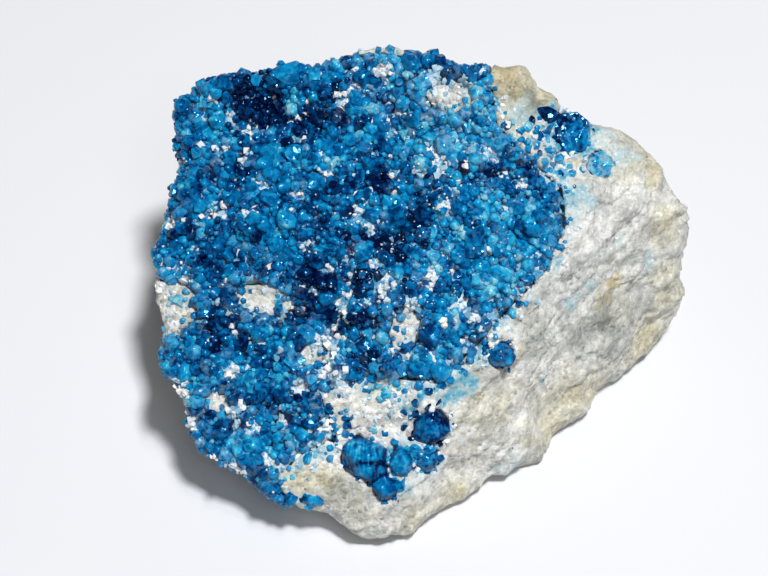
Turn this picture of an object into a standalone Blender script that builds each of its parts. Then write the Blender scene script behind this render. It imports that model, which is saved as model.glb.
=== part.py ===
"""A hand specimen of afghanite: a broken block of white marble, 47 mm long, whose
upper face carries a bed of intergrown blue crystals, with a few larger crystals
standing apart in the white rock.

Metres, +Z up. The origin is on the surface the specimen rests on, below the middle
of its box. +X runs along the specimen and +Y away from its front toe, so the bed of
crystals faces up and towards -Y. Sizes and places below are in millimetres.
"""

import math
import random

import bmesh
import bpy
from mathutils import Matrix, Vector, noise
from mathutils.bvhtree import BVHTree

MM = 0.001

# The block, as the corners of its broken faces
BACK_RIM = [
    (-22.0, 12.5, 21.0),
    (-18.5, 13.0, 23.5),
    (-11.0, 12.0, 25.5),
    (-2.5, 12.0, 27.0),
    (5.0, 10.5, 27.0),
    (8.0, 10.5, 26.0),
]
RIGHT_SHOULDER = [
    (11.0, 9.5, 23.5),
    (15.0, 8.5, 21.0),
    (18.5, 7.5, 18.5),
    (21.0, 7.0, 16.0),
    (23.0, 6.0, 12.5),
    (23.5, 5.0, 10.5),
    (23.0, 4.0, 5.0),
]
WALL_FOOT = [
    (21.5, 2.0, 1.5),
    (14.5, -6.0, 1.0),
    (9.5, -11.5, 1.0),
    (-1.5, -19.5, 1.0),
    (-5.0, -21.0, 1.5),
]
OVERHANGING_EDGE = [
    (-11.0, -19.5, 4.0),
    (-16.0, -17.5, 5.5),
    (-19.5, -15.0, 7.0),
    (-22.5, -10.0, 9.5),
    (-23.5, 0.0, 15.0),
]
WALL_RIDGE = [(10.0, -3.5, 17.5), (1.0, -14.5, 10.0), (-2.5, -18.5, 5.5)]
BACK_KNEES = [(-20.0, 16.0, 11.0), (-8.0, 21.0, 12.0), (6.0, 20.5, 12.0), (16.0, 14.5, 9.0)]
RESTING_FACE = [
    (-3.0, -17.0),
    (6.0, -11.0),
    (14.0, -3.0),
    (18.0, 4.0),
    (17.0, 11.0),
    (8.0, 16.0),
    (-6.0, 16.0),
    (-14.0, 9.0),
    (-16.0, 0.0),
    (-12.0, -10.0),
]
RESTING_STOCK = 1.0  # the block runs on this far below its resting face until it is cut flat

# How the rock is broken
GRID = 0.7
BLOCK_FACES = 2400
LUMP_SIZE, LUMP_HEIGHT = 7.0, 1.0
CHIP_SIZE, CHIP_HEIGHT = 2.4, 0.5
LEAF_STACK = Vector((0.68, -0.55, -0.49))  # across the rock's layers
LEAF_THICKNESS, LEAF_STEP = 2.3, 0.65
WALL_FACING = Vector((0.64, -0.6, 0.48))
BITE_PLACE, BITE_REACH, BITE_DEPTH = Vector((3.0, -16.5, 3.0)), 3.0, 0.4

# The crystal face: a plane through its middle, with u to the right and v up the slope
FACE_MIDDLE = (-8.8, -4.3, 14.5)
FACE_TILT = math.radians(33)
FACE_BEARING = math.radians(-105)
CREVICE = [(2.0, -7.0), (2.0, -2.5), (3.0, 1.0), (6.0, 5.0), (7.0, 10.0)]
CREVICE_RISE, CREVICE_REACH = 1.3, 6.0
CLIFF = [(6.5, -10.0), (11.5, -7.5), (12.5, -5.5), (15.0, -3.5)]
CLIFF_RISE, CLIFF_REACH = -1.1, 6.0
HOLLOW_PLACE, HOLLOW_SPREAD, HOLLOW_DEPTH = (-7.5, 13.6), (4.5, 2.2), 2.0

# The bed of crystals on that face: its outline, anticlockwise, runs past the block at an edge
BED_OUTLINE = [
    (-11.0, -2.0),
    (-10.0, -4.5),
    (-13.0, -7.5),
    (-10.5, -11.0),
    (-6.5, -14.8),
    (-3.5, -18.5),
    (1.0, -20.5),
    (1.8, -18.2),
    (0.0, -16.0),
    (1.0, -14.0),
    (3.8, -12.0),
    (2.0, -9.0),
    (3.5, -7.0),
    (6.0, -6.0),
    (11.0, -5.5),
    (13.5, -2.0),
    (15.0, 1.0),
    (18.0, 6.0),
    (18.5, 10.0),
    (17.5, 13.0),
    (14.0, 15.0),
    (11.5, 16.5),
    (10.0, 20.0),
    (9.5, 24.5),
    (4.0, 24.5),
    (2.5, 20.3),
    (-3.5, 19.5),
    (-6.0, 21.5),
    (-15.0, 20.5),
    (-21.0, 16.0),
    (-19.5, 8.0),
    (-18.5, -1.0),
]
BED_DEPTH = 3.0
BED_HEADROOM = 8.0
SEAM = 0.3

# White rock that comes up through the bed: place, half length, half width
ISLANDS = [
    ((-5.0, -1.8), 2.9, 1.4),
    ((6.8, 18.3), 2.1, 1.5),
    ((7.5, -1.8), 1.3, 2.0),
    ((0.4, -5.6), 1.5, 1.1),
    ((-6.6, -11.0), 1.2, 1.0),
]
ISLAND_SIDES = 7

# Crystals of the bed: some picked places and radii, then as many more as find room
PICKED_CRYSTALS = [
    (10.4, -1.1, 1.8),
    (9.6, -4.4, 1.2),
    (4.6, 21.4, 1.3),
    (-8.5, 17.0, 1.3),
    (0.8, 19.0, 1.2),
    (16.0, 9.5, 1.4),
    (-3.2, -15.0, 1.4),
    (-13.8, 15.2, 1.4),
    (-14.0, 9.5, 1.2),
    (-13.6, 3.5, 1.1),
]
CRYSTAL_RADII = (0.8, 1.6, 1.05)
CRYSTAL_ROOM = 1.02  # how far apart they stand, in times their radii
CRYSTAL_TRIES = 1400
CRYSTAL_SIDES = (4, 5, 6, 6)
CRYSTAL_LENGTH = (1.5, 2.2)  # this and what follows in times the radius
CRYSTAL_TAPER = (0.75, 1.0)
CRYSTAL_LEAN = (math.radians(6), math.radians(69))
BED_SINK, LONE_SINK = 0.15, 0.25
CHAMFER = 0.22

# Crystals that stand apart: name, place, radius, length, lean, bearing of the lean
LONE_CRYSTALS = [
    ("striated_crystal", (6.5, -13.0), 1.6, 3.2, 62, 75),
    ("striated_crystal_side", (9.3, -12.5), 0.85, 1.8, 40, 20),
    ("navy_crystal", (11.2, -9.4), 1.35, 2.6, 35, 130),
    ("teal_crystal", (11.5, -12.0), 0.8, 1.6, 50, -20),
    ("teal_crystal_toe", (8.5, -15.1), 0.8, 1.6, 30, 200),
    ("teal_crystal_wall", (15.6, -2.2), 0.95, 1.9, 45, 100),
    ("shoulder_crystal", (17.2, 18.0), 2.0, 2.2, 12, 300),
    ("shoulder_crystal_pale", (20.2, 15.9), 1.0, 1.8, 20, 60),
]
SOCKET_GAP = 0.2


def smooth_step(value, low, high):
    part = min(max((value - low) / (high - low), 0.0), 1.0)
    return part * part * (3 - 2 * part)


def clear_scene():
    for thing in list(bpy.data.objects):
        bpy.data.objects.remove(thing, do_unlink=True)


def new_collection(name):
    collection = bpy.data.collections.new(name)
    bpy.context.scene.collection.children.link(collection)
    return collection


def new_material(name, color, roughness):
    material = bpy.data.materials.new(name)
    material.use_nodes = True
    shader = material.node_tree.nodes["Principled BSDF"]
    shader.inputs["Base Color"].default_value = (*color, 1.0)
    shader.inputs["Roughness"].default_value = roughness
    shader.inputs["Metallic"].default_value = 0.0
    material.diffuse_color = (*color, 1.0)
    return material


def new_object(name, shape, collection):
    """An object from a bmesh, which is freed."""
    mesh = bpy.data.meshes.new(name)
    shape.to_mesh(mesh)
    shape.free()
    thing = bpy.data.objects.new(name, mesh)
    collection.objects.link(thing)
    return thing


def settle(thing):
    """Puts an object's modifiers into its mesh."""
    bpy.context.view_layer.update()
    drawn = thing.evaluated_get(bpy.context.evaluated_depsgraph_get())
    mesh = bpy.data.meshes.new_from_object(drawn)
    thing.modifiers.clear()
    thing.data = mesh


def cut(thing, tool, operation):
    boolean = thing.modifiers.new(operation.lower(), "BOOLEAN")
    boolean.operation = operation
    boolean.solver = "EXACT"
    boolean.use_self = operation == "UNION"
    boolean.object = tool
    settle(thing)


def keep_largest_body(thing):
    """Removes the crumbs that a cut leaves, and welds what it left open by rounding."""
    shape = bmesh.new()
    shape.from_mesh(thing.data)
    bmesh.ops.remove_doubles(shape, verts=shape.verts, dist=0.002 * MM)
    bmesh.ops.dissolve_degenerate(shape, edges=shape.edges, dist=0.002 * MM)
    left = set(shape.faces)
    bodies = []
    while left:
        reached = {left.pop()}
        edge_of_reach = list(reached)
        while edge_of_reach:
            face = edge_of_reach.pop()
            for edge in face.edges:
                for neighbour in edge.link_faces:
                    if neighbour in left:
                        left.remove(neighbour)
                        reached.add(neighbour)
                        edge_of_reach.append(neighbour)
        bodies.append(reached)
    bodies.sort(key=len, reverse=True)
    crumbs = [face for body in bodies[1:] for face in body]
    bmesh.ops.delete(shape, geom=crumbs, context="FACES")
    shape.to_mesh(thing.data)
    shape.free()


def face_frame():
    """The crystal face as a matrix from (u, v, height) to the world."""
    level = math.sin(FACE_TILT)
    height = Vector((level * math.cos(FACE_BEARING), level * math.sin(FACE_BEARING), math.cos(FACE_TILT)))
    u = Vector((-math.sin(FACE_BEARING), math.cos(FACE_BEARING), 0.0))
    v = height.cross(u)
    turn = Matrix((u, v, height)).transposed().to_4x4()
    return Matrix.Translation(Vector(FACE_MIDDLE) * MM) @ turn


def inside(place, loop):
    """Whether a place on the crystal face lies within a closed outline."""
    crossings = 0
    for (u1, v1), (u2, v2) in zip(loop, loop[1:] + loop[:1]):
        if (v1 > place[1]) != (v2 > place[1]):
            if place[0] < u1 + (place[1] - v1) * (u2 - u1) / (v2 - v1):
                crossings += 1
    return crossings % 2 == 1


def side_and_distance(place, line):
    """How far a place is from a line on the crystal face, more than zero on its right side."""
    best = None
    for start, end in zip(line, line[1:]):
        a, b, p = Vector(start), Vector(end), Vector(place)
        run = b - a
        part = min(max((p - a).dot(run) / run.length_squared, 0.0), 1.0)
        gap = p - (a + run * part)
        side = gap.x * run.y - gap.y * run.x
        if best is None or gap.length < abs(best):
            best = math.copysign(gap.length, side)
    return best


def step_height(place, line, rise, reach):
    """A step along a line, which fades out on the side away from it."""
    distance = side_and_distance(place, line)
    if abs(distance) > reach:
        return 0.0
    up = smooth_step(distance, -0.5, 0.5)
    return rise * up * (1 - smooth_step(abs(distance), 0.5, reach))


def face_height(u, v):
    """The crystal face's own relief: a hollow below its top edge, a crevice and a ledge."""
    across = (u - HOLLOW_PLACE[0]) / HOLLOW_SPREAD[0]
    along = (v - HOLLOW_PLACE[1]) / HOLLOW_SPREAD[1]
    hollow = -HOLLOW_DEPTH * math.exp(-across * across - along * along)
    crevice = step_height((u, v), CREVICE, CREVICE_RISE, CREVICE_REACH)
    cliff = step_height((u, v), CLIFF, CLIFF_RISE, CLIFF_REACH)
    return hollow + crevice + cliff


def rock_height(place, normal):
    """How far the broken rock stands out at a place."""
    lumps = LUMP_HEIGHT * noise.noise(place / LUMP_SIZE)
    chips = CHIP_HEIGHT * noise.noise(place / CHIP_SIZE + Vector((5, 9, 2)))
    on_wall = smooth_step(normal.dot(WALL_FACING), 0.3, 0.8)
    layer = place.dot(LEAF_STACK) / LEAF_THICKNESS + 0.6 * noise.noise(place / 9.0)
    leaves = LEAF_STEP * on_wall * (layer % 1.0 - 0.5)
    bite = -BITE_DEPTH * math.exp(-((place - BITE_PLACE).length / BITE_REACH) ** 2)
    underneath = smooth_step(-normal.z, 0.8, 0.95)
    return (lumps + chips) * (1 - 0.7 * underneath) + leaves + bite


def roughen(mesh, frame):
    """Moves each corner of the block's even grid to where the broken rock is."""
    to_face = frame.inverted()
    face_up = frame.to_3x3() @ Vector((0, 0, 1))
    normals = [corner.normal.copy() for corner in mesh.vertices]
    for corner, normal in zip(mesh.vertices, normals):
        u, v, _ = (to_face @ corner.co) / MM
        on_face = smooth_step(normal.dot(face_up), 0.4, 0.8)
        corner.co += normal * rock_height(corner.co / MM, normal) * MM
        corner.co += face_up * on_face * face_height(u, v) * MM


def cut_flat_below(thing):
    """Cuts the block off at z = 0 and closes it with its flat resting face."""
    shape = bmesh.new()
    shape.from_mesh(thing.data)
    everything = shape.verts[:] + shape.edges[:] + shape.faces[:]
    bmesh.ops.bisect_plane(shape, geom=everything, plane_co=(0, 0, 0), plane_no=(0, 0, -1), clear_outer=True)
    rim = [edge for edge in shape.edges if edge.is_boundary]
    bmesh.ops.holes_fill(shape, edges=rim, sides=0)
    bmesh.ops.recalc_face_normals(shape, faces=shape.faces)
    shape.to_mesh(thing.data)
    shape.free()


def even_out(thing):
    """Remakes a solid's surface as an even grid, with no folds."""
    grid = thing.modifiers.new("even_grid", "REMESH")
    grid.mode = "VOXEL"
    grid.voxel_size = GRID * MM
    settle(thing)


def make_block(frame, cutters):
    """The whole broken block, before the bed and the sockets are cut in it."""
    corners = BACK_RIM + RIGHT_SHOULDER + WALL_FOOT + OVERHANGING_EDGE + WALL_RIDGE + BACK_KNEES
    corners += [(x, y, -RESTING_STOCK) for x, y in RESTING_FACE]
    shape = bmesh.new()
    for corner in corners:
        shape.verts.new(Vector(corner) * MM)
    made = bmesh.ops.convex_hull(shape, input=shape.verts)
    inner = [item for item in made["geom_interior"] if isinstance(item, bmesh.types.BMVert)]
    bmesh.ops.delete(shape, geom=inner, context="VERTS")
    block = new_object("block", shape, cutters)
    even_out(block)
    roughen(block.data, frame)
    even_out(block)
    fewer = block.modifiers.new("fewer_faces", "DECIMATE")
    fewer.ratio = BLOCK_FACES / (2 * len(block.data.polygons))
    settle(block)
    cut_flat_below(block)
    return block


def drawn_prism(name, loop, low, high, frame, cutters):
    """A flat outline on the crystal face, drawn out square to the face."""
    curve = bpy.data.curves.new(name, "CURVE")
    curve.dimensions = "2D"
    curve.fill_mode = "BOTH"
    curve.extrude = (high - low) / 2 * MM
    spline = curve.splines.new("POLY")
    spline.points.add(len(loop) - 1)
    for point, (u, v) in zip(spline.points, loop):
        point.co = (u * MM, v * MM, 0.0, 1.0)
    spline.use_cyclic_u = True
    outline = bpy.data.objects.new(name, curve)
    cutters.objects.link(outline)
    bpy.context.view_layer.update()
    drawn = outline.evaluated_get(bpy.context.evaluated_depsgraph_get())
    mesh = bpy.data.meshes.new_from_object(drawn)
    bpy.data.objects.remove(outline, do_unlink=True)
    shape = bmesh.new()
    shape.from_mesh(mesh)
    bmesh.ops.remove_doubles(shape, verts=shape.verts, dist=0.001 * MM)
    bmesh.ops.recalc_face_normals(shape, faces=shape.faces)
    middle = Matrix.Translation((0, 0, (low + high) / 2 * MM))
    bmesh.ops.transform(shape, matrix=frame @ middle, verts=shape.verts)
    return new_object(name, shape, cutters)


def moved_in(loop, distance):
    """An anticlockwise outline moved inwards by the same distance all round."""
    moved = []
    count = len(loop)
    for index, place in enumerate(loop):
        before = (Vector(place) - Vector(loop[index - 1])).normalized()
        after = (Vector(loop[(index + 1) % count]) - Vector(place)).normalized()
        inward = Vector((-before.y - after.y, before.x + after.x)).normalized()
        reach = distance / max(inward.dot(Vector((-after.y, after.x))), 0.5)
        moved.append((place[0] + inward.x * reach, place[1] + inward.y * reach))
    return moved


def island_posts(name, grown, frame, cutters):
    """A post of rock for each island, through the bed from below its floor."""
    shape = bmesh.new()
    for (u, v), half_length, half_width in ISLANDS:
        size = Matrix.Diagonal(((half_length + grown) * MM, (half_width + grown) * MM, MM, 1.0))
        place = Matrix.Translation((u * MM, v * MM, 0.0))
        bmesh.ops.create_cone(
            shape,
            cap_ends=True,
            segments=ISLAND_SIDES,
            radius1=1.1,
            radius2=0.9,
            depth=6 * BED_HEADROOM,
            matrix=frame @ place @ size,
        )
    return new_object(name, shape, cutters)


def crystal_shape(shape, radius, length, place, sides=6, taper=1.0):
    """Adds a stubby flat-faced crystal with chamfered ends."""
    before = set(shape.faces)
    bmesh.ops.create_cone(
        shape,
        cap_ends=True,
        segments=sides,
        radius1=radius * MM,
        radius2=radius * taper * MM,
        depth=length * MM,
        matrix=place,
    )
    added = [face for face in shape.faces if face not in before]
    along = place.to_3x3() @ Vector((0, 0, 1))
    ends = [face for face in added if abs(face.normal.dot(along)) > 0.9]
    rims = [edge for face in ends for edge in face.edges]
    bmesh.ops.bevel(shape, geom=rims, offset=CHAMFER * radius * MM, segments=1, affect="EDGES")


def on_surface(tree, frame, place, sink):
    """The point below a place on the crystal face, sunk into the rock, or None past its edge."""
    down = -(frame.to_3x3() @ Vector((0, 0, 1)))
    start = frame @ (Vector((*place, BED_HEADROOM)) * MM)
    hit, normal, _, _ = tree.ray_cast(start, down, 3 * BED_HEADROOM * MM)
    if hit is None:
        return None
    return hit - normal * sink * MM


def on_island(place):
    for (u, v), half_length, half_width in ISLANDS:
        if math.hypot((place[0] - u) / half_length, (place[1] - v) / half_width) < 1:
            return True
    return False


def bed_places(chance):
    """Where the bed's crystals stand, and their radii."""
    places = list(PICKED_CRYSTALS)
    low_u = min(u for u, _ in BED_OUTLINE)
    high_u = max(u for u, _ in BED_OUTLINE)
    low_v = min(v for _, v in BED_OUTLINE)
    high_v = max(v for _, v in BED_OUTLINE)
    for _ in range(CRYSTAL_TRIES):
        place = (chance.uniform(low_u, high_u), chance.uniform(low_v, high_v))
        radius = chance.triangular(*CRYSTAL_RADII)
        if not inside(place, BED_OUTLINE) or on_island(place):
            continue
        room = min(math.dist(place, other[:2]) / (radius + other[2]) for other in places)
        if room > CRYSTAL_ROOM:
            places.append((*place, radius))
    return places


def make_bed_crystals(tree, frame, cutters):
    """All the crystals of the bed as one mesh, for the bed to be joined with."""
    chance = random.Random(6)
    shape = bmesh.new()
    for u, v, radius in bed_places(chance):
        centre = on_surface(tree, frame, (u, v), BED_SINK * radius)
        bearing = Matrix.Rotation(chance.uniform(0, math.tau), 4, "Z")
        lean = Matrix.Rotation(chance.uniform(*CRYSTAL_LEAN), 4, "X")
        spin = Matrix.Rotation(chance.uniform(0, math.tau), 4, "Z")
        length = radius * chance.uniform(*CRYSTAL_LENGTH)
        taper = chance.uniform(*CRYSTAL_TAPER)
        sides = chance.choice(CRYSTAL_SIDES)
        if centre is None:
            continue
        turn = frame.to_3x3().to_4x4() @ bearing @ lean @ spin
        crystal_shape(shape, radius, length, Matrix.Translation(centre) @ turn, sides, taper)
    return new_object("bed_crystals", shape, cutters)


def make_lone_crystal(entry, tree, frame, collection, grown=0.0):
    """One crystal that stands apart, or its socket when grown by the gap round it."""
    name, place, radius, length, lean, bearing = entry
    centre = on_surface(tree, frame, place, LONE_SINK * radius)
    towards = Matrix.Rotation(math.radians(bearing), 4, "Z")
    turn = frame.to_3x3().to_4x4() @ towards @ Matrix.Rotation(math.radians(lean), 4, "X")
    shape = bmesh.new()
    crystal_shape(shape, radius + grown, length + 2 * grown, Matrix.Translation(centre) @ turn)
    return new_object(name, shape, collection)


def main():
    clear_scene()
    parts = new_collection("afghanite_specimen")
    cutters = new_collection("cutters")
    marble = new_material("white_marble", (0.78, 0.75, 0.68), 0.6)
    afghanite = new_material("blue_afghanite", (0.02, 0.11, 0.42), 0.25)
    frame = face_frame()
    block = make_block(frame, cutters)
    tree = BVHTree.FromObject(block, bpy.context.evaluated_depsgraph_get())

    bed_room = drawn_prism("bed_room", BED_OUTLINE, -BED_DEPTH, BED_HEADROOM, frame, cutters)
    cut(bed_room, island_posts("islands", 0.0, frame, cutters), "DIFFERENCE")
    stock_outline = moved_in(BED_OUTLINE, SEAM)
    bed_stock = drawn_prism("bed_stock", stock_outline, SEAM - BED_DEPTH, BED_HEADROOM, frame, cutters)
    cut(bed_stock, island_posts("island_rooms", SEAM, frame, cutters), "DIFFERENCE")

    matrix = bpy.data.objects.new("matrix", block.data.copy())
    parts.objects.link(matrix)
    cut(matrix, bed_room, "DIFFERENCE")
    crust = bpy.data.objects.new("afghanite_crust", block.data.copy())
    parts.objects.link(crust)
    cut(crust, make_bed_crystals(tree, frame, cutters), "UNION")
    cut(crust, bed_stock, "INTERSECT")
    crust.data.materials.clear()
    crust.data.materials.append(afghanite)
    keep_largest_body(crust)

    for entry in LONE_CRYSTALS:
        crystal = make_lone_crystal(entry, tree, frame, parts)
        crystal.data.materials.append(afghanite)
        socket = make_lone_crystal(entry, tree, frame, cutters, grown=SOCKET_GAP)
        socket.name = entry[0] + "_socket"
        cut(matrix, socket, "DIFFERENCE")
    keep_largest_body(matrix)
    matrix.data.materials.clear()
    matrix.data.materials.append(marble)

    for thing in cutters.objects:
        thing.hide_render = True
        thing.display_type = "WIRE"


main()
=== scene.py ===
import math
import random

import bmesh
import bpy
import numpy as np
from mathutils import Matrix, Vector, noise
from mathutils.bvhtree import BVHTree


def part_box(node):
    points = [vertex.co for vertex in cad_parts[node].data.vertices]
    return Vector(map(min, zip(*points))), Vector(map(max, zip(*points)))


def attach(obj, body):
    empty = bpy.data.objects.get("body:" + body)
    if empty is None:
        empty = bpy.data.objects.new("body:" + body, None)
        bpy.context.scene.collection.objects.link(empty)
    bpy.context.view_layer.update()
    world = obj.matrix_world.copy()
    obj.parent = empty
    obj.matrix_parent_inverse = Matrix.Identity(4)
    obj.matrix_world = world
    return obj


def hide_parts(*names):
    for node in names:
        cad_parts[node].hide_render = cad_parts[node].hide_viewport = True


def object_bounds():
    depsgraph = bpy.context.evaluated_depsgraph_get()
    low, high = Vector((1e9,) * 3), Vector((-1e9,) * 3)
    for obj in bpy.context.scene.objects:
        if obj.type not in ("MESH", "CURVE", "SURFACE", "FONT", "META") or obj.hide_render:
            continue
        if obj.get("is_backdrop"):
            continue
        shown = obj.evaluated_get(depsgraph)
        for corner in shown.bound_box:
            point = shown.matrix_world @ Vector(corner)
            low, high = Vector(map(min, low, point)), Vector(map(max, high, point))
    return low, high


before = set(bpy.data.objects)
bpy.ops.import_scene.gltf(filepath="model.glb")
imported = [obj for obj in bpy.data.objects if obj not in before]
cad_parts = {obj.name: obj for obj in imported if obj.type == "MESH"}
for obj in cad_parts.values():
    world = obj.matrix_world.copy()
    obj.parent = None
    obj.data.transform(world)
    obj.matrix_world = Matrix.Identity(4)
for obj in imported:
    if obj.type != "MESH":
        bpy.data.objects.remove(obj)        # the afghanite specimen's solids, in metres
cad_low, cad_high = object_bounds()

MM = 0.001

# The table and the light. The lump lies on a plain white sheet, under a soft light high up
# and a little in front, with a weaker one to the right and a dim room filling the shadows.
TABLE_SIZE = 4.0
TABLE_COLOR = (0.742, 0.752, 0.786, 1.0)
ROOM_COLOR = (1.0, 0.97, 0.88, 1.0)
ROOM_STRENGTH = 0.078
LAMPS = [  # name, place, size, power
    ("key_light", Vector((0.165, -0.15, 0.80)), 0.12, 6.7),
    ("front_light", Vector((0.16, -0.55, 0.75)), 0.40, 1.2),
    ("spark_light", Vector((0.10, -0.02, 0.50)), 0.03, 0.22),
]

shape = bmesh.new()
bmesh.ops.create_grid(shape, x_segments=1, y_segments=1, size=TABLE_SIZE / 2)
mesh = bpy.data.meshes.new("table")
shape.to_mesh(mesh)
shape.free()
table = bpy.data.objects.new("table", mesh)
bpy.context.scene.collection.objects.link(table)
table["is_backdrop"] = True
paper = bpy.data.materials.new("white_paper")
paper.use_nodes = True
paper.node_tree.nodes["Principled BSDF"].inputs["Base Color"].default_value = TABLE_COLOR
paper.node_tree.nodes["Principled BSDF"].inputs["Roughness"].default_value = 0.7
table.data.materials.append(paper)

room = bpy.data.worlds.new("pale_room")
room.use_nodes = True
room.node_tree.nodes["Background"].inputs["Color"].default_value = ROOM_COLOR
room.node_tree.nodes["Background"].inputs["Strength"].default_value = ROOM_STRENGTH
bpy.context.scene.world = room
for name, place, size, power in LAMPS:
    lamp = bpy.data.lights.new(name, "AREA")
    lamp.shape = "DISK"
    lamp.size = size
    lamp.energy = power
    holder = bpy.data.objects.new(name, lamp)
    holder.location = place
    holder.rotation_euler = (-place).to_track_quat("-Z", "Y").to_euler()
    bpy.context.scene.collection.objects.link(holder)
bpy.context.scene.view_settings.view_transform = "Standard"

# The camera looks down on the lump at 50 degrees, through a long lens held close.
CAMERA_TILT = math.radians(50)
CAMERA_AIM = Vector((-3.8, -1.8, 12.0)) * MM
CAMERA_DISTANCE = 184.1 * MM
CAMERA_LENS = 100.0

camera = bpy.data.objects.new("camera", bpy.data.cameras.new("camera"))
camera.data.lens = CAMERA_LENS
camera.data.sensor_width = 36.0
camera.data.clip_start = 0.01
camera.location = CAMERA_AIM + CAMERA_DISTANCE * Vector((0, -math.cos(CAMERA_TILT), math.sin(CAMERA_TILT)))
camera.rotation_euler = (math.pi / 2 - CAMERA_TILT, 0, 0)
bpy.context.scene.collection.objects.link(camera)
bpy.context.scene.camera = camera

# The marble block. White, sugary marble broken out of its bed: layered along its right wall,
# stained cream and ochre on its rims, greyer and whiter in patches, and blue in places where the
# crystals' colour runs into it. Part of this colour is painted light and shade: a cream-brown
# painted shade along its foot, grey painted shade on the middle of the right wall, whiter painted
# light on the bevel and the toe, and a blue painted shade on the steep strip below the white ledge.
BLOCK_GRID = 0.275 * MM
LAYER_STACK = Vector((0.68, -0.55, -0.49)).normalized()  # across the rock's layers
LAYER_RUN = Vector((0.678, 0.699, 0.228)).normalized()  # along the wall's ledges
WALL_FACING = Vector((0.64, -0.6, 0.48)).normalized()
LAYER_DEPTH = 0.38 * MM
LUMP_DEPTH = 0.22 * MM
SUGAR_SIZE = 0.8 * MM
SUGAR_DEPTH = 0.17 * MM
TINT_REACH = 2.1 * MM
FACE_MIDDLE = Vector((-8.8, -4.3, 14.5)) * MM  # the crystal face: u to the right, v up its slope
FACE_TILT = math.radians(33)
FACE_BEARING = math.radians(-105)

RIM = [  # x, y, z, reach, and how far the lump's rim is moved there, in millimetres
    (-22.0, 11.0, 21.0, 2.4, -0.5, 0.0, 0.0),
    (-23.3, 6.5, 18.0, 3.2, 1.4, 0.0, 0.0),
    (-22.9, -0.2, 14.3, 1.8, -1.3, 0.0, 0.0),
    (-22.4, -3.2, 13.0, 1.8, -1.3, 0.0, 0.0),
    (-22.2, -9.5, 10.8, 2.6, -1.0, 0.0, 0.0),
    (-19.0, -14.0, 7.8, 1.9, -1.5, 0.0, 0.0),
    (-17.0, -15.5, 6.5, 2.0, -1.3, -0.2, 0.0),
    (-12.5, -18.0, 4.8, 1.6, -0.9, 0.0, 0.0),
    (-16.2, 13.3, 24.7, 2.2, 0.0, -0.5, -0.45),
    (-4.5, 12.3, 25.9, 3.5, 0.0, 0.75, 0.6),
    (7.5, 10.7, 25.2, 2.0, 0.5, 0.6, 0.5),
    (16.7, 9.3, 19.0, 2.6, 0.7, 0.35, 0.3),
    (19.6, 7.6, 17.0, 2.0, 0.3, 0.2, 0.2),
    (21.8, 6.8, 13.3, 2.4, 0.9, 0.0, 0.0),
    (23.6, 4.5, 9.2, 1.5, -0.9, 0.0, 0.0),
    (21.6, 2.6, 3.4, 2.6, 1.2, 0.0, 0.0),
    (19.0, -0.7, 1.6, 2.4, 0.9, 0.0, 0.0),
    (12.0, -7.6, 0.9, 2.5, 1.6, 0.0, 0.0),
    (9.0, -11.5, 0.5, 1.6, 0.9, 0.0, 0.0),
    (5.4, -13.8, 1.2, 2.0, 0.9, 0.0, 0.0),
    (3.2, -15.2, 1.0, 1.7, 2.0, 0.0, 0.0),
]
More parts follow.
